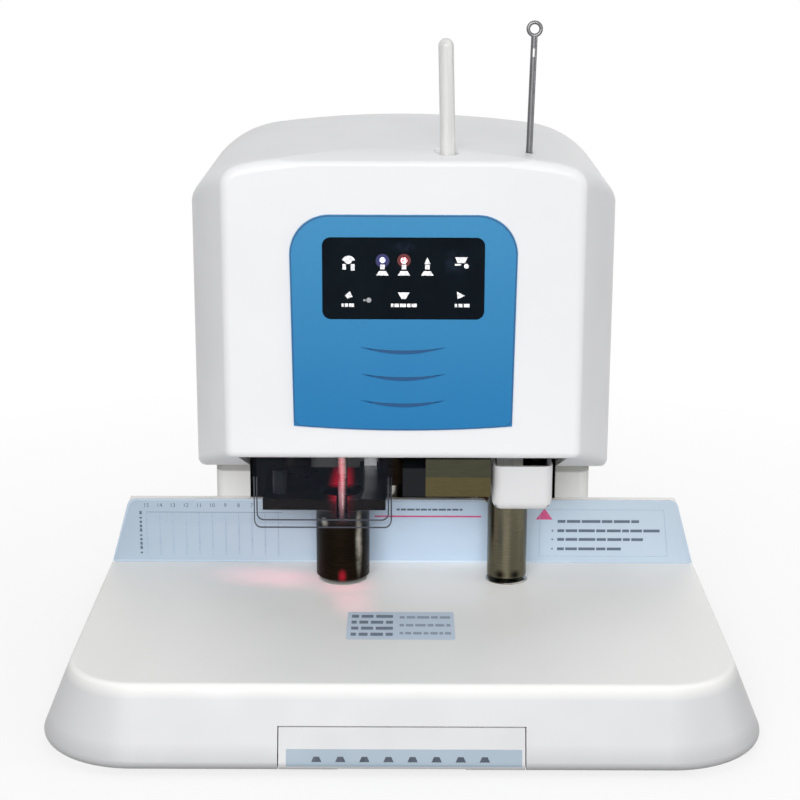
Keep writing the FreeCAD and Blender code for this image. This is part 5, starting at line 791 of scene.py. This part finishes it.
def broken_line(left, low, right, high, chunks, gap):
    """A row of bars of uneven lengths, standing for a line of small print."""
    weights = [1 + (index * 7 % 5) * 0.35 for index in range(chunks)]
    room = right - left - gap * (chunks - 1)
    shapes = []
    for weight in weights:
        width = room * weight / sum(weights)
        shapes.append(rectangle(left, low, left + width, high))
        left += width + gap
    return shapes


def edge_distance(surface, centre, along):
    """How far a surface reaches from a centre in one direction, sought inwards in ever smaller
    paces."""
    far = PANEL_BEYOND
    pace = 1.0
    while pace > EDGE_FINENESS:
        while surface.misses(centre[0] + far * along[0], centre[1] + far * along[1]):
            far -= pace
        far += pace
        pace /= 2
    return far


def edge_line(surface, centre, inset):
    """A line just inside a surface's outer edge, all round a centre."""
    points = []
    for step in range(EDGE_POINTS + 1):
        turn = 2 * math.pi * step / EDGE_POINTS
        along = (math.cos(turn), math.sin(turn))
        far = edge_distance(surface, centre, along) - inset
        points.append((centre[0] + far * along[0], centre[1] + far * along[1]))
    return points


# ---------------------------------------------------------------- the marks of each surface

def print_fence():
    """The numbered scale on the left, a red line below small marks in the middle, and on the
    right a red triangle and framed bars for print."""
    film = Surface("fence_film")
    grey_ink = ink("scale_ink", (0.085, 0.115, 0.16))
    pale_ink = ink("pale_ink", (0.30, 0.38, 0.48))
    red_ink = ink("red_ink", (0.52, 0.07, 0.20))
    digits = []
    lines = []
    for number in range(SCALE_FIRST, SCALE_LAST - 1, -1):
        x = SCALE_ZERO - number * SCALE_PITCH
        digits.extend(number_shapes(str(number), x, DIGIT_FOOT, DIGIT_HEIGHT))
        lines.append(rectangle(x - 0.4, SCALE_FOOT, x + 0.4, SCALE_TOP))
        for part in range(1, 5):
            tick = x + part * SCALE_PITCH / 5
            if tick < SCALE_ZERO - SCALE_TICKS_END * SCALE_PITCH:
                lines.append(rectangle(tick - 0.14, SCALE_TICK_FOOT, tick + 0.14, SCALE_TOP))
    digits.append(rectangle(SCALE_ZERO - SCALE_FIRST * SCALE_PITCH, SCALE_TOP,
                            SCALE_ZERO - SCALE_LAST * SCALE_PITCH + 3, SCALE_TOP + 0.25))
    # A column of small print up the film's left end.
    for index in range(10):
        low = 53.5 + index * 2.95
        digits.append(rectangle(-168.9, low, -167.4, low + 1.2 + (index * 3 % 4) * 0.35))
    marks("fence_scale", film, digits, grey_ink)
    marks("fence_scale_lines", film, lines, pale_ink)
    notes = []
    rows = ((151.9, 76.2, 6), (165.3, 69.9, 8), (154.8, 64.0, 7), (140.8, 57.6, 5))
    for right, middle, chunks in rows:
        notes.extend(broken_line(NOTE_LEFT, middle - NOTE_HALF, right, middle + NOTE_HALF,
                                 chunks, 0.9))
    # Every row but the first, a heading, has a dot in front.
    for _, middle, _ in rows[1:]:
        notes.append(disc(NOTE_DOTS, middle, 0.6, 10))
    marks("fence_notes", film, notes, grey_ink)
    marks("fence_note_frame", film,
          [rectangle(88, 83.9, 167.6, 84.25), rectangle(88, 52.4, 171.1, 52.75),
           rectangle(88, 52.75, 88.35, 83.9),
           [(170.7, 52.75), (171.1, 52.75), (167.6, 83.9), (167.2, 83.9)]], pale_ink)
    marks("fence_small_marks", film, broken_line(-3.8, 83.2, 38.5, 84.5, 11, 0.7), grey_ink)
    marks("fence_red_marks", film,
          [rectangle(-18, 78.7, 50.5, 79.8), [(85.5, 77.4), (96.3, 77.4), (91.0, 84.9)]], red_ink)


def print_label():
    """A bare label on the table, with bars for its two columns of print."""
    table = Surface("base_shell", above=True)
    paper = moulded("label_paper", (0.64, 0.74, 0.86), 0.5)
    marks("table_label", table, [pill(-32.6, -92.6, 30.8, -49.2, 1.5)], paper, 0.12)
    bars = []
    for row in range(4):
        middle = -56.5 - row * 9.4
        bars.extend(broken_line(-30, middle - 2.4, -5.5, middle + 2.2, 3 + row % 2, 1.6))
    marks("table_label_bars", table, bars, ink("label_ink", (0.16, 0.20, 0.26)), 0.2)
    lines = []
    for row in range(3):
        middle = -58 - row * 12.5
        lines.extend(broken_line(-1.5, middle - 1.9, 28.5, middle + 1.9, 5 + row, 1.1))
    marks("table_label_lines", table, lines, ink("label_pale_ink", (0.28, 0.34, 0.42)), 0.2)


def print_panel():
    """Painted shade in the three smile grooves, and a line of painted shade round the panel's edge.
    """
    panel = Surface("control_panel")
    shares = [step * 2 / GROOVE_STEPS - 1 for step in range(GROOVE_STEPS + 1)]
    lenses = []
    for end in GROOVE_ENDS:
        upper, lower = ([(GROOVE_HALF * share, end - sag * (1 - share ** 2)) for share in shares]
                        for sag in GROOVE_SAGS)
        lenses.extend(band(upper, lower))
    marks("panel_groove_shade", panel, lenses, ink("groove_shade", (0.006, 0.070, 0.190)), 0.04)
    # A line of painted shade just inside the panel's outer edge.
    line = band(edge_line(panel, PANEL_CENTRE, 0.3), edge_line(panel, PANEL_CENTRE, 1.0))
    marks("panel_painted_edge_shade", panel, line, ink("panel_edge", (0.012, 0.085, 0.215)), 0.05)


def print_guard():
    """Painted dark edges along the clear sheet's bottom and corners, where it bends light."""
    left, right = GUARD_SIDES
    lines = []
    for inset, low in ((0.5, 93.9), (2.2, 98.6)):
        outer = cup(left + inset, low, right - inset, GUARD_TOP, 4.5)
        inner = cup(left + inset + 0.8, low + 0.9, right - inset - 0.8, GUARD_TOP, 3.7)
        lines.extend(band(outer, inner))
    marks("guard_painted_dark_edges", Surface("drill_guard"), lines,
          ink("guard_edge", (0.030, 0.033, 0.045)), 0.05)


def print_window():
    """The window's pale symbols, bars for their print, and two lit lamps with painted halos of
    their glow.
    """
    glass = Surface("display_window")
    upper = [*arc(-31.7, 259.5, 2.6, 1.4, 20, 140), disc(-31.9, 261.0, 2.3),
             rectangle(-35.2, 255.4, -33.2, 258.6), rectangle(-30.4, 254.8, -28.2, 258.6)]
    for x in (READY_LAMP, HEAT_LAMP, THIRD_MARK):
        upper.append(rectangle(x - 1.3, 255.6, x + 1.3, 258.4))
        upper.append(trapezium(x, 252.0, 254.6, 3.6, 2.0))
    upper.append([(12.0, 258.8), (15.6, 258.8), (13.8, 262.6)])
    upper.append([(29.8, 262.8), (37.0, 262.8), (35.4, 259.4), (31.2, 259.4)])
    upper.append(disc(36.3, 257.6, 1.4))
    upper.append(rectangle(29.6, 257.9, 33.2, 258.9))
    lower = [[(-33.8, 240.2), (-31.0, 242.6), (-29.4, 239.4), (-32.4, 238.4)],
             *broken_line(-35.8, 233.4, -28.6, 235.4, 3, 0.6),
             [(-3.2, 242.0), (3.6, 242.0), (1.4, 238.2), (-1.0, 238.2)],
             *broken_line(-7.2, 233.4, 7.8, 235.4, 5, 0.6),
             [(31.0, 242.6), (35.6, 240.2), (31.4, 238.2)],
             *broken_line(29.8, 233.4, 38.4, 235.4, 3, 0.8)]
    marks("window_marks", glass, upper + lower,
          lit_ink("mark_white", (0.62, 0.62, 0.66), 0.25), 0.1)
    marks("window_dim_marks", glass,
          [disc(-20.0, 237.4, 1.5, 12), rectangle(-23.2, 236.8, -21.9, 238.0)],
          ink("mark_grey", (0.32, 0.33, 0.35)), 0.1)
    marks("lamp_ready", glass, [disc(READY_LAMP, 261.0, 1.7)],
          lit_ink("lamp_blue", (0.35, 0.40, 1.0), 1.2), 0.12)
    marks("lamp_heat", glass, [disc(HEAT_LAMP, 260.8, 1.9)],
          lit_ink("lamp_red", (1.0, 0.10, 0.12), 1.4), 0.12)
    # Painted glow: a tinted halo round each lamp.
    marks("lamp_ready_halo", glass, [disc(READY_LAMP, 260.6, 4.0)],
          ink("halo_blue", (0.012, 0.012, 0.085)), 0.06)
    marks("lamp_heat_halo", glass, [disc(HEAT_LAMP, 260.8, 3.9)],
          ink("halo_red", (0.10, 0.006, 0.010)), 0.06)


def print_drawer():
    """The drawer's pale strip and the row of small marks on it."""
    front = Surface("accessory_drawer")
    marks("drawer_strip", front, grid(-63, 6.1, 65.5, 15.2, 12, 7),
          moulded("drawer_strip", (0.34, 0.42, 0.50), 0.5), 0.1, "accessory_drawer")
    row = [trapezium(-46.5 + index * 13.1, 8.7, 11.4, 2.8, 1.5) for index in range(8)]
    marks("drawer_marks", front, row, ink("drawer_ink", (0.018, 0.030, 0.055)), 0.22,
          "accessory_drawer")


add_camera()
add_world()
add_floor()
for lamp_row in LAMPS:
    add_lamp(*lamp_row)
dress_nodes()
print_fence()
print_label()
print_panel()
print_guard()
print_window()
print_drawer()
